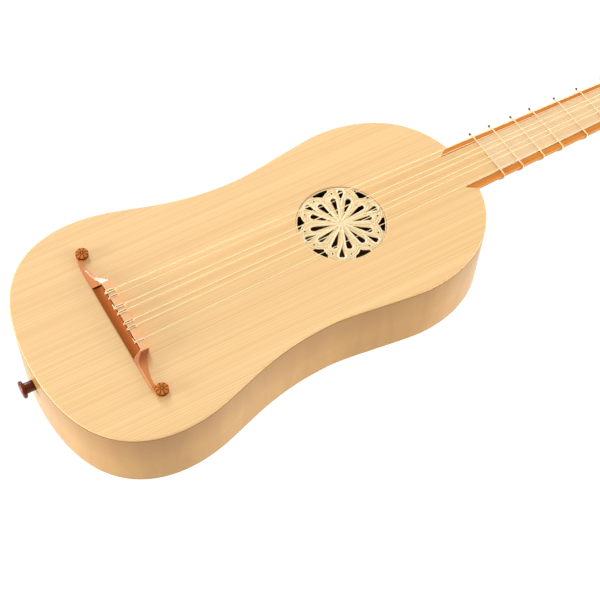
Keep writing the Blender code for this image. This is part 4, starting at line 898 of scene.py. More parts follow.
    def arc(self, axis, reach):
        """Line of a lobe, from its corner with one neighbour to its corner with the other."""
        size = sizes()
        half = math.pi / self.lobes
        side = size.lobe_centre * math.sin(half)
        tip = size.lobe_centre * math.cos(half) + math.sqrt(reach ** 2 - side ** 2)
        end = math.atan2(tip * math.sin(half), tip * math.cos(half) - size.lobe_centre)
        centre = Vector(self.ray(size.lobe_centre, axis))
        swings = [axis - end + 2 * end * i / 40 for i in range(41)]
        return [tuple(centre + reach * Vector((math.cos(a), math.sin(a)))) for a in swings]

    def bead(self, line, share, closed=False):
        """Raised bead along a line of the face, whose radius is a share of the bead size."""
        route = [(x, y, self.face) for x, y in line]
        return cord(route, 2 * sizes().bead * share, closed, resolution=2)


# Bridge

class GUITAR_OT_bridge(bpy.types.Operator):
    """Carve the bridge: a hollowed block with thin wings that end in round flowers"""
    bl_idname = "guitar.bridge"
    bl_label = "Bridge"
    petals = 8
    face_steps = 14                # steps up the tail face, or up the hollow
    block_steps = 60               # cross sections from the middle to the hollow's end
    fall_steps = 24                # and over the fall from the block to a wing
    wing_steps = 12                # and over the rest of the wing
    # Falls from the block's end down to a wing, along the ridge and along the front edge: three steps
    # outwards with their heights in millimetres, which steer a curve. The treble side is cut shorter.
    falls = {
        ("ridge", 1): ((6, 4.2), (14, 2.0), (26, 2.0)),
        ("front", 1): ((5, 4.0), (12, 2.1), (24, 2.1)),
        ("ridge", -1): ((2.6, 2.8), (5.5, 1.6), (14, 1.9)),
        ("front", -1): ((3.2, 4.6), (7, 2.2), (14, 2.1)),
    }
    fall_run = 16 * MM             # length of a fall that has so many sections
    lean_run = 8 * MM              # length over which the hollow's leaning ends grow upright
    wall_gap = 0.02 * MM           # from an end wall of the hollow to the section on either side
    into_flower = 2.4 * MM         # a wing ends so far short of its flower's middle
    chip_length = 1.7 * MM
    # A flower: height of its carved face, depth of its cuts, half width of a cut between two petals, and
    # shares of its radius for the ring in its middle, half the ring's width and the petals' ends
    flower_face = 1.1 * MM
    cut_depth, cut_half = 0.6 * MM, 0.42 * MM
    ring_at, ring_half, petal_end = 0.2, 0.05, 0.95
    # Shares of the painted shade, whose darkest tone is the cuts': a flower's side, its flat face and its
    # cuts
    flower_side = 0.95
    petal_flat, petal_cut = 0.15, 0.8
    # The same for the treble fall in front of its ridge and behind it, the bass fall behind its ridge,
    # the painted shadow of a knot beside a string, and the hollow
    treble_front, treble_back = 0.42, 0.36
    bass_back = 0.2
    knot_shadow = 0.4
    hollow = 0.5
    hollowed_from = 0.45           # faces that hold more than this have the hollow's dull finish
    sweep_fade = 7 * MM            # length over which the treble fall's tone goes out
    # Where the painted shade ends: past the hollow's end and inside it, in front of the small step behind
    # the strings and behind it, beside a string, and under the top
    past_end, end_wall = -0.03 * MM, 0.04 * MM
    before_step, behind_step = -0.6 * MM, 0.3 * MM
    beside_string, under_top = 0.55 * MM, 0.25 * MM

    def execute(self, context):
        size = sizes()
        shape = self.block_and_wings()
        for side in (1, -1):
            flower = self.flower()
            spot = (-size.flower_back, size.bridge_shift + side * size.flower_out, BRIDGE_FOOT)
            bmesh.ops.translate(flower, verts=flower.verts, vec=spot)
            shape = carve(shape, flower, "UNION")
        height = BRIDGE_FOOT + size.hole_height
        drills = [rod((-BRIDGE_DEPTH, y, height), (1 * MM, y, height), size.hole_radius, 20)
                  for y in (string_y(i, "bridge") for i in range(STRING_COUNT))]
        shape = carve(shape, gather(drills))
        # Painted shade, held as the depth attribute
        layer = shape.verts.layers.float.new("depth")
        for vert in shape.verts:
            vert[layer] = self.depth(vert.co)
        for face in shape.faces:
            off_flower = abs(abs(face.calc_center_median().y - size.bridge_shift) - size.flower_out)
            cut = min(vert[layer] for vert in face.verts) > self.hollowed_from
            face.material_index = int(cut or off_flower < size.flower_radius)
        place_piece("carved_bridge", shape, ["Steamed pear", "Hollowed pear"], ["bridge"],
                    sharp=28)
        return {"FINISHED"}

    def block_and_wings(self):
        """Loft along Y of cross sections, from one flower to the other."""
        size = sizes()
        last = size.flower_out - self.into_flower
        front, tail = self.wing_plan(last)
        falls = {key: self.fall(*key) for key in self.falls}
        sections = []
        for y in self.offsets(last):
            out = abs(y)
            top, front_top = BRIDGE_HEIGHT, BRIDGE_HEIGHT
            if out >= size.block_half:
                side = math.copysign(1, y)
                top, front_top = across(falls["ridge", side], out), across(falls["front", side], out)
            front_x = 0.0 if out < size.block_half else across(front, out)
            tail_x = -BRIDGE_DEPTH if out < tail[0].y else across(tail, out)
            lean = size.scoop_slant * max(0.0, 1 - abs(y - size.scoop_half) / self.lean_run)
            lean -= size.scoop_treble_slant * max(0.0, 1 - abs(y + size.scoop_half) / self.lean_run)
            sections.append([(x, size.bridge_shift + y + lean * self.share_back(x), BRIDGE_FOOT + z)
                             for x, z in self.section(tail_x, front_x, top, front_top, y)])
        return lofted(sections)

    def offsets(self, last):
        """Offsets of the cross sections from the middle, close together where the shape changes."""
        size = sizes()
        gap = self.wall_gap
        fall_end = size.block_half + self.fall_run
        half = [size.scoop_half * i / self.block_steps for i in range(self.block_steps)]
        half += [size.scoop_half - gap, size.scoop_half + gap, size.scoop_half + 3 * gap,
                 size.block_half - gap]
        half += [size.block_half + self.fall_run * i / self.fall_steps for i in range(self.fall_steps)]
        half += [fall_end + (last - fall_end) * i / self.wing_steps for i in range(self.wing_steps + 1)]
        return [-y for y in reversed(half[1:])] + half

    @staticmethod
    def wing_plan(last):
        """Front and tail lines of a wing seen from above, from the block out to its last section."""
        size = sizes()
        waist_x = size.wing_width - BRIDGE_DEPTH
        wing_end = size.flower_out - 5 * MM
        front = bezier((0, size.block_half), (-1 * MM, size.block_half + 4 * MM),
                       (waist_x + 1 * MM, size.wing_waist - 9 * MM), (waist_x, size.wing_waist), 18)
        front += bezier((waist_x, size.wing_waist), (waist_x - 0.9 * MM, size.wing_waist + 4 * MM),
                        (waist_x - 1.5 * MM, wing_end - 4 * MM), (waist_x - 1.1 * MM, wing_end), 8)
        front.append(Vector((waist_x + 1.9 * MM, last)))
        tail_end = Vector((-size.flower_back - size.flower_radius + 0.7 * MM, last))
        tail = bezier((-BRIDGE_DEPTH, size.wing_waist - 4 * MM), (-BRIDGE_DEPTH, wing_end - 3 * MM),
                      (-BRIDGE_DEPTH + 0.3 * MM, wing_end), tail_end, 12)
        tail.append(tail_end)
        return front, tail

    @staticmethod
    def share_back(x):
        """How far back from the block's top a place lies, from nil there to one at the tail."""
        top = sizes().block_top
        return clamped((-x - top) / (BRIDGE_DEPTH - top))

    def fall(self, edge, side):
        """Heights, each with its distance from the middle, from the block's end out to the flower."""
        size = sizes()
        points = [Vector((BRIDGE_HEIGHT, size.block_half))]
        points += [Vector((height * MM, size.block_half + out * MM))
                   for out, height in self.falls[edge, side]]
        return interpolate_bezier(*points, 20) + [Vector((points[-1].x, size.flower_out))]

    def section(self, tail_x, front_x, top, front_top, y):
        """Cross section from the tail's foot over the ridge and the top to the front's foot."""
        size = sizes()
        hollowed = abs(y) < size.scoop_half
        slope = (BRIDGE_HEIGHT - size.scoop_foot) / (BRIDGE_DEPTH - size.block_top)
        foot = Vector((tail_x, size.scoop_foot + (tail_x + BRIDGE_DEPTH) * slope))
        ridge = Vector((-BRIDGE_DEPTH + (top - size.scoop_foot) / slope, top))
        least = 0.2 * MM
        foot.y = min(foot.y, top - least)
        ridge.x = max(ridge.x, foot.x + least)
        face_end = ridge.lerp(foot, 0.04)
        if hollowed:
            ridge.x += size.scoop_chips * noise.noise(Vector((y / self.chip_length, 0, 0)))
            face_end = ridge + Vector((size.scoop_step / 5, -size.scoop_step))
        half = (face_end - foot).length / 2
        bow = size.scoop_radius - math.sqrt(size.scoop_radius ** 2 - half ** 2) if hollowed else 0.0
        inward = Vector(((face_end - foot).y, -(face_end - foot).x)).normalized()
        face = []
        for i in range(self.face_steps + 1):
            share = i / self.face_steps
            face.append(foot.lerp(face_end, share) + inward * bow * (1 - (2 * share - 1) ** 2))
        wide = front_x - ridge.x
        ease = min(0.3 * MM + (BRIDGE_HEIGHT - top) * 0.12, wide * 0.4)
        front = Vector((front_x, front_top))
        soft = self.eased(face[-1], ridge, front, min(0.15 * MM, wide * 0.3), 3)
        soft += self.eased(ridge, front, Vector((front_x, 0)), ease, 4)
        return [Vector((tail_x, 0))] + face + soft + [Vector((front_x, 0))]

    def depth(self, place):
        """Share of the painted shade at a place on the bridge, whose darkest tone is the cuts'."""
        size = sizes()
        place = Vector((place.x, place.y - size.bridge_shift, place.z))
        bass = place.y > 0
        rise = place.z - BRIDGE_FOOT
        flat = place.xy - Vector((-size.flower_back, math.copysign(size.flower_out, place.y)))
        # Painted shade on a flower's side and in its cuts
        if flat.length < size.flower_radius * 1.02 and rise > 0.2 * MM:
            if rise < size.flower_height - self.flower_face:
                return self.flower_side
            carved = self.petal_depth(flat.length, math.atan2(flat.y, flat.x))
            return max(self.petal_flat, self.petal_cut * carved)
        behind = -place.x - size.block_top
        inside = size.scoop_half - abs(place.y)
        inside += self.share_back(place.x) * (size.scoop_slant if bass else size.scoop_treble_slant)
        out = abs(place.y) - size.block_half
        # Painted shade on the falls from the block to the wings: the treble fall, and the bass wing's tail
        # slope
        if out > 0 and inside < self.past_end:
            slope = (BRIDGE_HEIGHT - size.scoop_foot) / (BRIDGE_DEPTH - size.block_top)
            before_ridge = place.x > (rise - size.scoop_foot) / slope - BRIDGE_DEPTH + 0.05 * MM
            if bass:
                return 0.0 if before_ridge else self.bass_back
            tone = self.treble_front if before_ridge else self.treble_back
            return tone * clamped((size.sweep_length - out) / self.sweep_fade)
        # Painted shadow of the knots on the bridge's top, beside each string
        if rise > BRIDGE_HEIGHT - self.under_top:
            y = place.y + size.bridge_shift
            beside = min(abs(y - string_y(i, "bridge")) for i in range(STRING_COUNT))
            return self.knot_shadow if beside < self.beside_string else 0.0
        if behind < self.before_step or inside < self.past_end:
            return 0.0
        if behind < self.behind_step or inside < self.end_wall:
            return 1.0
        # Painted shade in the hollow, darkest by the bass end wall
        if bass:
            return max(self.hollow, 1.0 - 0.5 * inside / (1.0 * MM))
        return self.hollow

    @staticmethod
    def eased(before, corner, after, reach, steps):
        start = corner + (before - corner).normalized() * reach
        end = corner + (after - corner).normalized() * reach
        return [start.lerp(corner, share).lerp(corner.lerp(end, share), share)
                for share in (i / steps for i in range(steps + 1))]

    def petal_depth(self, radius, turn):
        """How deep the carving goes at a place on a flower's face, from nil to one.

        Cuts run between the petals, round their bowed ends and in a ring about the middle, and all of
        them run out just before the rim.
        """
        size = sizes()
        share = radius / size.flower_radius
        off_axis = abs((turn * self.petals / TURN) % 1 - 0.5) * 2
        between = (1 - off_axis) * math.pi / self.petals * radius
        side = 1 - between / self.cut_half
        end = (share - self.petal_end + 0.16 * off_axis ** 3) / 0.05
        if share > 0.97:
            end = 0.0
            side = 0.0 if share > 0.99 else side
        ring = 1 - abs(share - self.ring_at) / self.ring_half
        middle = 1.0 if share > self.ring_at else 0.0
        return min(1.0, max(0.0, ring, middle * side, middle * end))

    def flower(self):
        """Round carved end of a wing, turned and then cut into petals, about Z at its own foot."""
        size = sizes()
        radius, height = size.flower_radius, size.flower_height
        shares = (0, 0.08, 0.15, 0.2, 0.25, 0.35, 0.48, 0.6, 0.7, 0.8, 0.88, 0.94, 0.98, 1.0)
        profile = [(radius * share, height - 0.7 * MM * share ** 4) for share in shares]
        profile += [(radius, height - 1.2 * MM), (radius * 0.97, height * 0.5), (radius * 0.97, 0), (0, 0)]
        shape = turned(profile, 128)
        for vert in shape.verts:
            reach = vert.co.xy.length
            if vert.co.z > height - 1.0 * MM and reach < radius * 0.999:
                turn = math.atan2(vert.co.y, vert.co.x)
                vert.co.z -= self.cut_depth * self.petal_depth(reach, turn)
        return shape


# Neck, edge strips and fingerboard

def section_depth(across_share, width, depth, squareness):
    """How far down the neck's underside lies at a share of its half width."""
    half = width / 2
    radius = (half ** 2 + depth ** 2) / (2 * depth)
    round_part = (math.sqrt(max(radius ** 2 - (across_share * half) ** 2, 0)) - (radius - depth)) / depth
    return (1 - squareness) * round_part + squareness * (1 - abs(across_share) ** 6)


def neck_section(x, depth, squareness=0.0, steps=40):
    """Underside of the neck at x, from the bass edge to the treble edge, as points of Y and Z."""
    half = neck_half(x)
    plain_depth = min(depth, sizes().neck_depth_body)
    points = []
    for i in range(steps + 1):
        share = math.cos(math.pi * i / steps)
        keel = (depth - plain_depth) * max(0.0, 1 - (share / sizes().heel_share) ** 2)
        down = plain_depth * section_depth(share, 2 * half, plain_depth, squareness)
        points.append((share * half, RIB_TOP - down - keel))
    return points


def neck_depth(x):
    size = sizes()
    share = (x - JOINT_X) / (NUT_X - JOINT_X)
    return size.neck_depth_body + share * (size.neck_depth_nut - size.neck_depth_body)


class GUITAR_OT_neck(bpy.types.Operator):
    """Carve the neck and its heel from one piece"""
    bl_idname = "guitar.neck"
    bl_label = "Neck"
    heel_steps = 24                # sections of the heel's curve, of the shaft and of the squared end
    shaft_steps = 12
    square_steps = 10
    heel_face = 1.5 * MM           # full depth of the heel beside the body

    def execute(self, context):
        plan = half_outline(-GLUE)[-40:]
        stations = self.stations()
        sections = []
        for number, (x, depth, squareness) in enumerate(stations):
            lean = math.tan(HEAD_TILT) if number == len(stations) - 1 else 0.0
            sections.append([(x + (z - RIB_TOP) * lean if number else across(plan, abs(y)), y, z)
                             for y, z in neck_section(x, depth, squareness)])
        place_piece("carved_neck", lofted(sections), ["Varnished sycamore"], ["neck"], sharp=40)
        return {"FINISHED"}

    def stations(self):
        """X, depth and squareness of the cross sections, from the body to the head."""
        size = sizes()
        heel_depth = RIB_TOP - NECK_LOW.z
        foot_x, heel_x = JOINT_X + size.heel_foot, JOINT_X + size.heel_length
        square_x = NECK_HIGH.x - size.squaring
        stations = [(JOINT_X, heel_depth, 0.0), (JOINT_X + self.heel_face, heel_depth, 0.0)]
        for share in (i / self.heel_steps for i in range(self.heel_steps + 1)):
            x = foot_x + share * (heel_x - foot_x)
            fall = 1 - math.sin(share * math.pi / 2)
            stations.append((x, neck_depth(x) + fall * (heel_depth - neck_depth(x)), 0.0))
        for i in range(1, self.shaft_steps + 1):
            x = heel_x + (square_x - heel_x) * i / self.shaft_steps
            stations.append((x, neck_depth(x), 0.0))
        for i in range(1, self.square_steps + 1):
            x = square_x + size.squaring * i / self.square_steps
            stations.append((x, neck_depth(x), i / self.square_steps))
        return stations


class GUITAR_OT_edge_strips(bpy.types.Operator):
    """Lay the plum strips along both edges of the neck"""
    bl_idname = "guitar.edge_strips"
    bl_label = "Edge strips"
    arris = 0.45 * MM

    def execute(self, context):
        corner = shoulder_x()
        mitre = corner - sizes().strip_mitre
        end = NUT_X - GLUE
        strip = [(corner, neck_half(corner)), (mitre, strip_inner(mitre)), (end, strip_inner(end)),
                 (end, neck_half(end))]
        for name, loop in (("bass", strip), ("treble", treble_side(strip))):
            place_piece(f"plum_strip_{name}", board([loop], BOARD_LOW, BOARD_TOP, self.arris),
                        ["Plum strips"], [f"edge_strip_{name}"])
        return {"FINISHED"}


class GUITAR_OT_fingerboard(bpy.types.Operator):
    """Let the pale fingerboard in between the strips"""
    bl_idname = "guitar.fingerboard"
    bl_label = "Fingerboard"
    arris = 0.15 * MM

    def execute(self, context):
        start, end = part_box("fingerboard")[0].x, NUT_X - GLUE
        half = [(start, 0), (start, strip_inner(start) - GLUE), (end, strip_inner(end) - GLUE), (end, 0)]
        place_piece("maple_fingerboard", board([mirrored(half)], BOARD_LOW, BOARD_TOP, self.arris),
                    ["Oiled maple"], ["fingerboard"])
        return {"FINISHED"}


# Frets

class GUITAR_OT_frets(bpy.types.Operator):
    """Tie the gut frets, each with its knot and two burnt ends on the bass side"""
    bl_idname = "guitar.frets"
    bl_label = "Tied frets"
    clear = 0.1 * MM               # gap between the gut and the wood
    knot_drop = 1.4 * MM           # the knot's middle lies so far under the neck's top
    knot_turns = 2
    turn_steps = 20
    # Shares of the fret's gut: the knot's own thickness, its turns' radius, and their pitch in knot gut
    knot_gut, knot_reach, knot_pitch = 0.8, 0.88, 1.05
    # Burnt ends: offset along the neck, share of their reach, and height over the knot's middle
    burnt_ends = ((-0.3 * MM, 1.0, 0.9 * MM), (0.1 * MM, 0.9, 0.2 * MM))

    def execute(self, context):
        for number, x in enumerate(FRET_X, 1):
            shape = gather(self.fret(x))
            place_piece(f"gut_fret_{number}", shape, ["Twisted gut", "Burnt gut"],
                        [f"fret_{number}"], f"fret_{number}_tied", sharp=60)
        return {"FINISHED"}

    def fret(self, x):
        size = sizes()
        half = neck_half(x)
        gut = size.fret_diameter
        lift = gut / 2 + self.clear
        outline = [(half, BOARD_TOP), (-half, BOARD_TOP)] + neck_section(x, neck_depth(x), 0.0, 36)[::-1]
        route = [(x, y, z) for y, z in self.around(outline, lift)]
        knot_z = BOARD_TOP - self.knot_drop
        thin, reach = self.knot_gut * gut, self.knot_reach * gut
        turns = []
        for number in (i / self.turn_steps for i in range(self.knot_turns * self.turn_steps + 1)):
            swing = math.pi / 2 + TURN * number
            rise = thin * self.knot_pitch * (number - self.knot_turns / 2)
            out = half + lift + reach * math.sin(swing)
            turns.append((x + reach * math.cos(swing), out, knot_z + rise))
        tips = [Vector((x + along, half + size.knot_out * share, knot_z + rise))
                for along, share, rise in self.burnt_ends]
        knot = cord(rounded([tips[1]] + turns + [tips[0]], 0.4 * MM, steps=2), thin, resolution=3)
        burnt = []
        for tip in tips:
            ball = bmesh.new()
            bmesh.ops.create_icosphere(ball, subdivisions=2, radius=gut, matrix=Matrix.Translation(tip))
            for face in ball.faces:
                face.material_index = 1
            burnt.append(ball)
        return [cord(route, gut, closed=True, resolution=3), knot] + burnt

    @staticmethod
    def around(loop, distance):
        """Closed route round a convex outline at a distance, with round corners."""
        route = []
        for i, here in enumerate(loop):
            here = Vector(here)
            before = (here - Vector(loop[i - 1])).normalized()
            after = (Vector(loop[(i + 1) % len(loop)]) - here).normalized()
            first, last = Vector((before.y, -before.x)), Vector((after.y, -after.x))
            if first.dot(last) < math.cos(math.radians(40)):
                route += [here + first.slerp(last, share / 5) * distance for share in range(6)]
            else:
                middle = (first + last).normalized()
                route.append(here + middle * distance / middle.dot(first))
        return route


# Head and pegs

def peg_radius(height):
    """Radius of a peg's shaft, which grows by 1 in 25, at a height above the face of the head."""
    return sizes().peg_tip + (sizes().peg_proud - height) / 25


def peg_spot(index):
    """Place of a string's peg on the head's face, and the way its string winds."""
    spot = HEAD_FRAME.inverted() @ Vector(PEG_JOINTS[index]["pos_m"])
    return spot.x, spot.y, 1 if spot.y > 1 * MM else -1


class GUITAR_OT_head(bpy.types.Operator):
    """Saw out the head and drill it for the pegs"""
    bl_idname = "guitar.head"
    bl_label = "Head"
    arris = 0.7 * MM

    def execute(self, context):
        size = sizes()
        neck = size.neck_width_nut / 2
        shoulder, top, crest = size.head_shoulder / 2, size.head_top / 2, size.crest_width / 2
        crest_x = size.head_length - size.crest_length
        swell = size.head_shoulder_at / 2
        half = [(0, 0)] + bezier((0, neck), (swell, neck), (size.head_shoulder_at - swell, shoulder),
                                 (size.head_shoulder_at, shoulder), 16)
        half += bezier((size.head_shoulder_at, shoulder), (crest_x / 2, shoulder), (crest_x / 2, top),
                       (crest_x, top), 16)
        scoop_x = crest_x + size.crest_length / 2
        half += bezier((crest_x, top), (crest_x, (top + crest) / 2),
                       (crest_x + size.crest_length / 6, crest), (scoop_x, crest), 14)
        half += bezier((scoop_x, crest), (scoop_x + size.crest_length / 4, crest),
                       (size.head_length, crest / 2), (size.head_length, 0), 14)
        half.append((size.head_length, 0))
        shape = board([mirrored(half)], -HEAD_THICKNESS, 0.0, self.arris)
        over = 1 * MM
        low = -HEAD_THICKNESS - over
        shape = carve(shape, gather(
            rod((x, y, low), (x, y, over), peg_radius(low) + GLUE / 2, 40, peg_radius(over) + GLUE / 2)
            for x, y, _ in map(peg_spot, range(STRING_COUNT))))
        bmesh.ops.transform(shape, matrix=HEAD_FRAME, verts=shape.verts)
        place_piece("sawn_head", shape, ["Varnished sycamore"], ["headstock"])
        return {"FINISHED"}


class GUITAR_OT_pegs(bpy.types.Operator):
    """Turn the pegs, with a collar, a rounded leaf and an eye for the string"""
    bl_idname = "guitar.pegs"
    bl_label = "Pegs"
    ease = 0.9 * MM                # rounding of the thin end
    dome = 0.15 * MM
    eye_radius = 0.8 * MM
    # Steps of the leaf down its sides, round its end and round a cross section, and the power that makes
    # the section fuller than an oval
    side_steps, end_steps, ring_steps = 20, 6, 32
    fullness = 0.8

    def execute(self, context):
        pattern = bpy.data.meshes.new("peg_pattern")
        shape = self.peg()
        shape.to_mesh(pattern)
        shape.free()
        for i in range(STRING_COUNT):
            x, y, _ = peg_spot(i)
            shape = bmesh.new()
            shape.from_mesh(pattern)
            place = HEAD_FRAME @ Matrix.Translation((x, y, 0)) @ Matrix.Rotation(eye_turn(i), 4, "Z")
            bmesh.ops.transform(shape, matrix=place, verts=shape.verts)
            place_piece(f"turned_peg_{i + 1}", shape, ["Turned plum pegs"], [f"peg_{i + 1}"],
                        f"peg_{i + 1}_turning", sharp=35)
        bpy.data.meshes.remove(pattern)
        return {"FINISHED"}

    def peg(self):
        size = sizes()
        tip = size.peg_proud
        behind = -HEAD_THICKNESS - size.peg_neck
        collar_end = behind - size.collar_length
        rim = size.collar_length / 2
        profile = [(0, tip + self.dome)]
        profile += round_edge(size.peg_tip - self.ease, tip - self.ease, self.ease, math.pi / 2, 6)
        profile.append((peg_radius(behind), behind))
        profile += round_edge(size.collar_radius - rim, behind - rim, rim, math.pi, 10)
        profile += [(size.peg_tip, collar_end), (size.peg_tip * 0.86, collar_end - 1 * MM),
                    (size.peg_tip * 0.8, collar_end - 2 * MM), (0, collar_end - 2 * MM)]
        shape = carve(turned(profile, 48), self.leaf(collar_end - 1 * MM), "UNION")
        reach = size.collar_radius
        eye = rod((-reach, 0, size.eye_height), (reach, 0, size.eye_height), self.eye_radius, 16)
        return carve(shape, eye)

    def leaf(self, top):
        """Leaf of a peg from its top down: it swells, narrows and ends in a shallow hollow."""
        size = sizes()
        half, end_half, end = size.leaf_width / 2, size.leaf_end_width / 2, top - size.leaf_length
        side = bezier((size.peg_tip * 0.7, top), (half, top - 1.5 * MM), (half + 1 * MM, end + 5 * MM),
                      (end_half, end), self.side_steps)
        side += bezier((end_half, end), (end_half - 1 * MM, end - 0.8 * MM), (0.9 * MM, end - 0.3 * MM),
                       (0.5 * MM, end + 0.2 * MM), self.end_steps)
        angles = [TURN * i / self.ring_steps for i in range(self.ring_steps)]
        sections = []
        for number, (wide, height) in enumerate(side):
            thick = min(1.0, 0.62 + 0.38 * number / 6, math.sqrt(wide / (1.6 * MM)))
            thick *= size.leaf_thickness / 2
            sections.append([
                (wide * self.fuller(math.cos(angle)), thick * self.fuller(math.sin(angle)), height)
                for angle in angles])
        return lofted(sections)

    def fuller(self, share):
        return math.copysign(abs(share) ** self.fullness, share)


# Strings

COURSES = (3, 3, 2, 2, 1, 1, 0)    # each string's course, counted from the treble
SIDES = (1, -1, 1, -1, 1, -1, 0)   # and its side in a pair
TURN_STEPS = 40
FIXED_TURN = math.radians(280)     # part of a string's first turn that stays when its peg turns
# Where the frame's own winding starts round its peg, and the gap between its turns
FRAME_TURN = math.radians(300)
FRAME_GAP = 0.45 * MM


def string_y(index, end):
    """Offset of a string at the bridge or the nut."""
    size = sizes()
    course, side = COURSES[index], SIDES[index]
    if end == "bridge":
        return size.first_at_bridge + course * size.pitch_at_bridge + side * size.pair_at_bridge
    return size.first_at_nut + course * size.pitch_at_nut + side * size.pair_at_nut


def nut_point(index):
    return Vector((NUT_X, string_y(index, "nut"), BOARD_TOP + sizes().nut_action))


def wrap_radius(index):
    return peg_radius(sizes().wrap_height) + 0.05 * MM + sizes().strings[index] / 2


def touch_angle(index, radius):
    """Angle on its peg where a string from the nut first touches a circle round the peg."""
    x, y, way = peg_spot(index)
    nut = HEAD_FRAME.inverted() @ nut_point(index)
    to_nut = Vector((nut.x - x, nut.y - y))
    return math.atan2(to_nut.y, to_nut.x) + way * math.acos(radius / to_nut.length)


def eye_turn(index):
    """Angle of a peg's eye and leaf, where the frame's own winding goes into the eye."""
    size = sizes()
    pitch = size.strings[index] + FRAME_GAP
    turns = (size.eye_height - size.wrap_height - pitch) / pitch
    start = touch_angle(index, wrap_radius(index) + GLUE)
    return start + peg_spot(index)[2] * (FRAME_TURN + TURN * turns)


def on_peg(index, radius, angle, height):
    """Place at a distance and an angle from a peg's axis, and at a height above the head's face."""
    x, y, _ = peg_spot(index)
    return HEAD_FRAME @ Vector((x + radius * math.cos(angle), y + radius * math.sin(angle), height))


class GUITAR_OT_strings(bpy.types.Operator):
    """Tie the strings to the bridge and lay each over the nut and round its peg"""
    bl_idname = "guitar.strings"
    bl_label = "Strings"
    loose = (2, 6)                 # strings 3 and 7, whose free end lies along the edge behind the knot
    clear = 0.1 * MM               # gap between the gut and the bridge
    loop_gap = 0.15 * MM           # and between a knot's loop and the string under it
    single_gap = 0.04 * MM         # half the space between the strands of the single string's knot

    def execute(self, context):
        for i in range(STRING_COUNT):
            string = cord(self.route(i), sizes().strings[i])
            place_piece(f"gut_string_{i + 1}", string, ["Twisted gut"], [f"string_{i + 1}"],
                        sharp=60)
        return {"FINISHED"}

    def knot_route(self, index):
        """String's knot on the bridge, from its free end: a long loop over the top, then the hole.

        Points are X from the bridge's front, Y from the string and Z from the bridge's foot.
        """
        size = sizes()
        gut = size.strings[index]
        clear = gut / 2 + self.clear
        spread = gut / 2 + (size.knot_gap if index < STRING_COUNT - 1 else self.single_gap)
        top = BRIDGE_HEIGHT + clear
        hook = clear + gut + self.loop_gap
        hook_z = BRIDGE_HEIGHT - gut / 2 - 0.2 * MM
        edge = -size.block_top
        hole = size.hole_height
        out = [(edge - 0.45 * MM, 0, BRIDGE_HEIGHT - 1.2 * MM)]
        if index in self.loose:
            out = [(edge - 0.9 * MM, size.free_end, BRIDGE_HEIGHT - 1.2 * MM),
                   (edge - 0.75 * MM, size.free_end / 4, BRIDGE_HEIGHT - 0.7 * MM)]
        over = [(edge - 0.5 * MM, -spread * 0.6, BRIDGE_HEIGHT - 0.1 * MM),
                (edge + 0.3 * MM, -spread, top),
                (-0.5 * MM, -spread, top),
                (clear + 0.1 * MM, -spread * 0.9, top - 0.3 * MM),
                (hook, -spread * 0.4, hook_z)]
        back = [(x, -y, z) for x, y, z in reversed(over)]
        return out + over + back + [
            (edge - 1.3 * MM, 0.1 * MM, hole + 0.9 * MM),
            (edge - 1.2 * MM, 0, hole),
            (0.15 * MM, 0, hole),
            (clear, 0, hole + 0.4 * MM),
            (clear, 0, BRIDGE_HEIGHT - 0.15 * MM),
            (hook + 0.6 * MM, 0, BRIDGE_HEIGHT + gut / 2 + 0.15 * MM),
        ]

    def route(self, index):
        foot = Vector((0, string_y(index, "bridge"), BRIDGE_FOOT))
        knot = rounded([foot + Vector(step) for step in self.knot_route(index)], 0.7 * MM)
        radius, height = wrap_radius(index), sizes().wrap_height
        start, way = touch_angle(index, radius), peg_spot(index)[2]
        steps = round(TURN_STEPS * FIXED_TURN / TURN)
        turn = [on_peg(index, radius, start + way * FIXED_TURN * i / steps, height)
                for i in range(steps + 1)]
        over_nut = rounded([knot[-1], nut_point(index), turn[0]], 2 * MM)
        return knot + over_nut[1:] + turn[1:]


class GUITAR_OT_windings(bpy.types.Operator):
    """Wind each string's further turns on its peg, up to the eye and through it"""
    bl_idname = "guitar.windings"
    bl_label = "Windings"
    # Shares of a string's thickness: from the fixed turn to the first of these, and the closest pitch
    first_pitch, least_pitch = 1.06, 1.04
    corner = 1.0 * MM              # the gut leaves its turn so far before the eye
    end_out = 1.2 * MM             # and comes out of the eye by so much on the other side

    def execute(self, context):
        for i in range(STRING_COUNT):
            winding = cord(self.route(i), sizes().strings[i], resolution=3)
            place_piece(f"gut_winding_{i + 1}", winding, ["Twisted gut"], [f"winding_{i + 1}"],
                        f"peg_{i + 1}_turning", sharp=60)
        return {"FINISHED"}

    def route(self, index):
        """Close turns from the string's fixed turn up to the peg's eye, and through it.

        They stack on the fixed turn, which lies flat, so that they pass it when the peg turns.
        """
        size = sizes()
        gut, radius, way = size.strings[index], wrap_radius(index), peg_spot(index)[2]
        low, high = size.wrap_height + gut * self.first_pitch, size.eye_height
        start = touch_angle(index, radius) + way * FIXED_TURN
        most = TURN * (high - low) / (gut * self.least_pitch)
        to_eye = (way * (eye_turn(index) - start)) % math.pi
        sweep = to_eye + math.pi * math.floor((most - to_eye) / math.pi)
        steps = round(TURN_STEPS * sweep / TURN)
        sweep_end = sweep - self.corner / radius
        route = [on_peg(index, radius, start + way * sweep_end * i / steps, low + (high - low) * i / steps)
                 for i in range(steps + 1)]
        angle = start + way * sweep
        inside = [on_peg(index, reach, angle, high) for reach in (radius - 0.2 * MM, 0)]
        out = on_peg(index, -radius - self.end_out, angle, high - 0.5 * MM)
        return route[:-1] + rounded([route[-1]] + inside + [out], 0.5 * MM, steps=4)


# End button

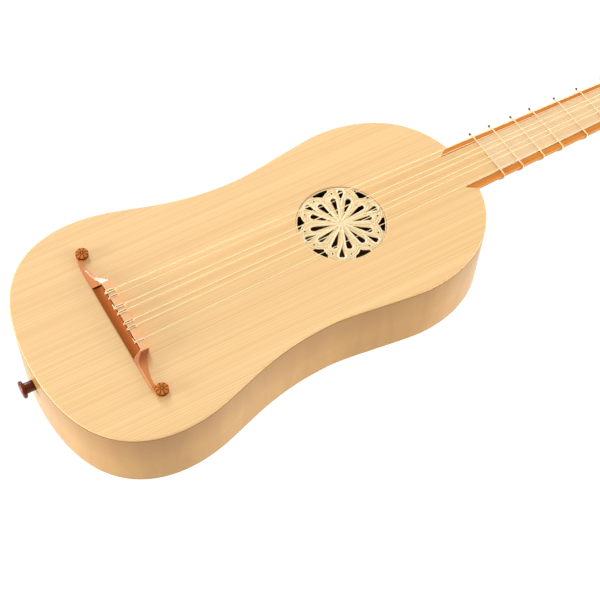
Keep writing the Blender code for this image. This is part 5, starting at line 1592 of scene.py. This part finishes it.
class GUITAR_OT_end_button(bpy.types.Operator):
    """Turn the end button: a round head, a straight stem and the pin in the tail block"""
    bl_idname = "guitar.end_button"
    bl_label = "End button"
    fillet = 0.9 * MM              # hollow curve between the head and the stem

    def execute(self, context):
        size = sizes()
        edge, pin_end = TAIL_X - BUTTON_LOW.x, TAIL_X - BUTTON_HIGH.x
        radius, stem = BUTTON_HIGH.y, size.button_stem_radius
        rim = (edge - size.button_stem) / 2
        profile = [(0, edge), (radius * 0.5, edge - 0.03 * MM)]
        profile += round_edge(radius - rim, edge - rim, rim, math.pi, 12)
        profile += round_edge(stem + self.fillet, size.button_stem - self.fillet, self.fillet,
                              -math.pi / 2, 5)
        profile += [(stem * 0.97, size.button_stem / 2), (stem, 0.6 * MM), (stem - 0.2 * MM, GLUE / 3),
                    (size.button_pin_radius, GLUE / 3), (size.button_pin_radius, pin_end), (0, pin_end)]
        shape = turned(profile)
        place = Matrix.Translation((TAIL_X, 0, (BUTTON_LOW.z + BUTTON_HIGH.z) / 2))
        bmesh.ops.transform(shape, matrix=place @ Matrix.Rotation(-math.pi / 2, 4, "Y"), verts=shape.verts)
        place_piece("turned_button", shape, ["Turned plum button"], ["end_button"], sharp=40)
        return {"FINISHED"}


# Frame pieces that stay

CAD_FINISHES = {
    "rose_ring": "Shade-painted spruce",
    "nut": "Polished bone",
    "soundboard_bar": "Bare spruce",
    "back_bar": "Bare spruce",
    "tail_block": "Bare willow",
    "neck_block": "Bare willow",
    "top_lining": "Bare willow",
    "back_lining": "Bare willow",
}


class GUITAR_OT_finish_frame(bpy.types.Operator):
    """Give the frame pieces that stay their wood or bone"""
    bl_idname = "guitar.finish_frame"
    bl_label = "Finish the frame's pieces"

    def execute(self, context):
        make_materials()
        for node, obj in frame["nodes"].items():
            for start, finish in CAD_FINISHES.items():
                if node.startswith(start):
                    obj.data.materials.clear()
                    obj.data.materials.append(MATERIALS[finish])
        return {"FINISHED"}


# Stage

class GUITAR_OT_stage(bpy.types.Operator):
    """Lay the pale floor, the soft lights and the camera"""
    bl_idname = "guitar.stage"
    bl_label = "Stage"
    floor_half = 6.0
    floor_centre = (0.25, 0, -0.2 * MM)
    # Softboxes: place, width and height in metres, and power in watts
    softboxes = {
        "left softbox": ((-1.6, 0.35, 0.25), (1.0, 0.5), 35),
        "right softbox": ((1.7, -0.8, 0.4), (1.0, 0.6), 19),
        "front softbox": ((1.1, -1.5, 0.6), (0.8, 0.6), 11),
        "back softbox": ((0.35, 1.95, 1.1), (0.4, 1.3), 26),
    }
    lit_point = (0.1, 0, 0.03)
    # Light of the surroundings on the low and the high side of each axis, and where a way is full
    paper = (("X", 0.08, 0.15), ("Y", 0.0, 0.44), ("Z", 0.0, 0.22))
    paper_full = 0.6
    # Camera that was solved from the photograph, with angles in degrees and lengths in millimetres
    azimuth, elevation, roll = -32.645, 56.97, 3.003
    camera_place = (-0.1695, -0.4955, 0.8831)
    lens, sensor = 78.5, 36

    def execute(self, context):
        scene = context.scene
        scene.view_settings.view_transform = "Standard"
        scene.view_settings.look = "None"
        shape = bmesh.new()
        bmesh.ops.create_grid(shape, x_segments=1, y_segments=1, size=self.floor_half,
                              matrix=Matrix.Translation(self.floor_centre))
        floor = add_object("floor", shape)
        floor.data.materials.append(MATERIALS["Matt white card"])
        scene.world = self.surroundings()
        for name, (place, spread, power) in self.softboxes.items():
            self.add_light(name, Vector(place), spread, power)
        self.add_camera(scene)
        return {"FINISHED"}

    def surroundings(self):
        """White paper all round, brightest behind the guitar and dim on the camera's side."""
        world = bpy.data.worlds.new("Soft studio")
        world.use_nodes = True
        tree = world.node_tree
        place = add_node(tree, "ShaderNodeTexCoord")
        way = add_node(tree, "ShaderNodeSeparateXYZ", {}, {"Vector": place.outputs["Object"]})
        parts = [add_node(tree, "ShaderNodeMapRange",
                          {"From Min": -self.paper_full, "From Max": self.paper_full,
                           "To Min": dim, "To Max": bright},
                          {"Value": way.outputs[axis]}).outputs["Result"]
                 for axis, dim, bright in self.paper]
        total = parts[0]
        for part in parts[1:]:
            total = add_node(tree, "ShaderNodeMath", {}, {0: total, 1: part}).outputs["Value"]
        back = tree.nodes["Background"]
        back.inputs["Color"].default_value = (1.0, 1.0, 1.0, 1)
        tree.links.new(back.inputs["Strength"], total)
        return world

    def add_light(self, name, place, spread, power):
        data = bpy.data.lights.new(name, "AREA")
        data.shape = "RECTANGLE"
        data.size, data.size_y = spread
        data.energy = power
        lamp = bpy.data.objects.new(name, data)
        bpy.context.scene.collection.objects.link(lamp)
        lamp.location = place
        lamp.rotation_euler = (place - Vector(self.lit_point)).to_track_quat("Z", "Y").to_euler()

    def add_camera(self, scene):
        azimuth, elevation, roll = map(math.radians, (self.azimuth, self.elevation, self.roll))
        back = Vector((math.sin(azimuth) * math.cos(elevation), -math.cos(azimuth) * math.cos(elevation),
                       math.sin(elevation)))
        side = Vector((math.cos(azimuth), math.sin(azimuth), 0))
        up = back.cross(side)
        right = math.cos(roll) * side + math.sin(roll) * up
        top = -math.sin(roll) * side + math.cos(roll) * up
        data = bpy.data.cameras.new("photograph")
        data.sensor_width = self.sensor
        data.lens = self.lens
        data.clip_start = 0.01
        camera = bpy.data.objects.new("photograph", data)
        scene.collection.objects.link(camera)
        turned_to = Matrix((right, top, back)).transposed().to_4x4()
        camera.matrix_world = Matrix.Translation(self.camera_place) @ turned_to
        scene.camera = camera


class GUITAR_PT_sidebar(bpy.types.Panel):
    """Lists the guitar's pieces in the order in which they are made"""
    bl_label = "Renaissance guitar"
    bl_idname = "GUITAR_PT_sidebar"
    bl_space_type = "VIEW_3D"
    bl_region_type = "UI"
    bl_category = "Guitar"

    def draw(self, context):
        for operator in OPERATORS:
            self.layout.operator(operator.bl_idname)


OPERATORS = (GUITAR_OT_finish_frame, GUITAR_OT_soundboard, GUITAR_OT_back, GUITAR_OT_ribs, GUITAR_OT_rose,
             GUITAR_OT_bridge, GUITAR_OT_neck, GUITAR_OT_edge_strips, GUITAR_OT_fingerboard,
             GUITAR_OT_frets, GUITAR_OT_head, GUITAR_OT_pegs, GUITAR_OT_strings, GUITAR_OT_windings,
             GUITAR_OT_end_button, GUITAR_OT_stage)
CLASSES = (GuitarSizes, GuitarColours) + OPERATORS + (GUITAR_PT_sidebar,)


def register():
    for entry in CLASSES:
        bpy.utils.register_class(entry)
    bpy.types.Scene.guitar_sizes = bpy.props.PointerProperty(type=GuitarSizes)
    bpy.types.Scene.guitar_colours = bpy.props.PointerProperty(type=GuitarColours)


def unregister():
    del bpy.types.Scene.guitar_colours
    del bpy.types.Scene.guitar_sizes
    for entry in reversed(CLASSES):
        bpy.utils.unregister_class(entry)


def main():
    register()
    bpy.ops.guitar.finish_frame()
    bpy.ops.guitar.soundboard()
    bpy.ops.guitar.back()
    bpy.ops.guitar.ribs()
    bpy.ops.guitar.rose()
    bpy.ops.guitar.bridge()
    bpy.ops.guitar.neck()
    bpy.ops.guitar.edge_strips()
    bpy.ops.guitar.fingerboard()
    bpy.ops.guitar.frets()
    bpy.ops.guitar.head()
    bpy.ops.guitar.pegs()
    bpy.ops.guitar.strings()
    bpy.ops.guitar.windings()
    bpy.ops.guitar.end_button()
    bpy.ops.guitar.stage()


if __name__ == "__main__":
    main()
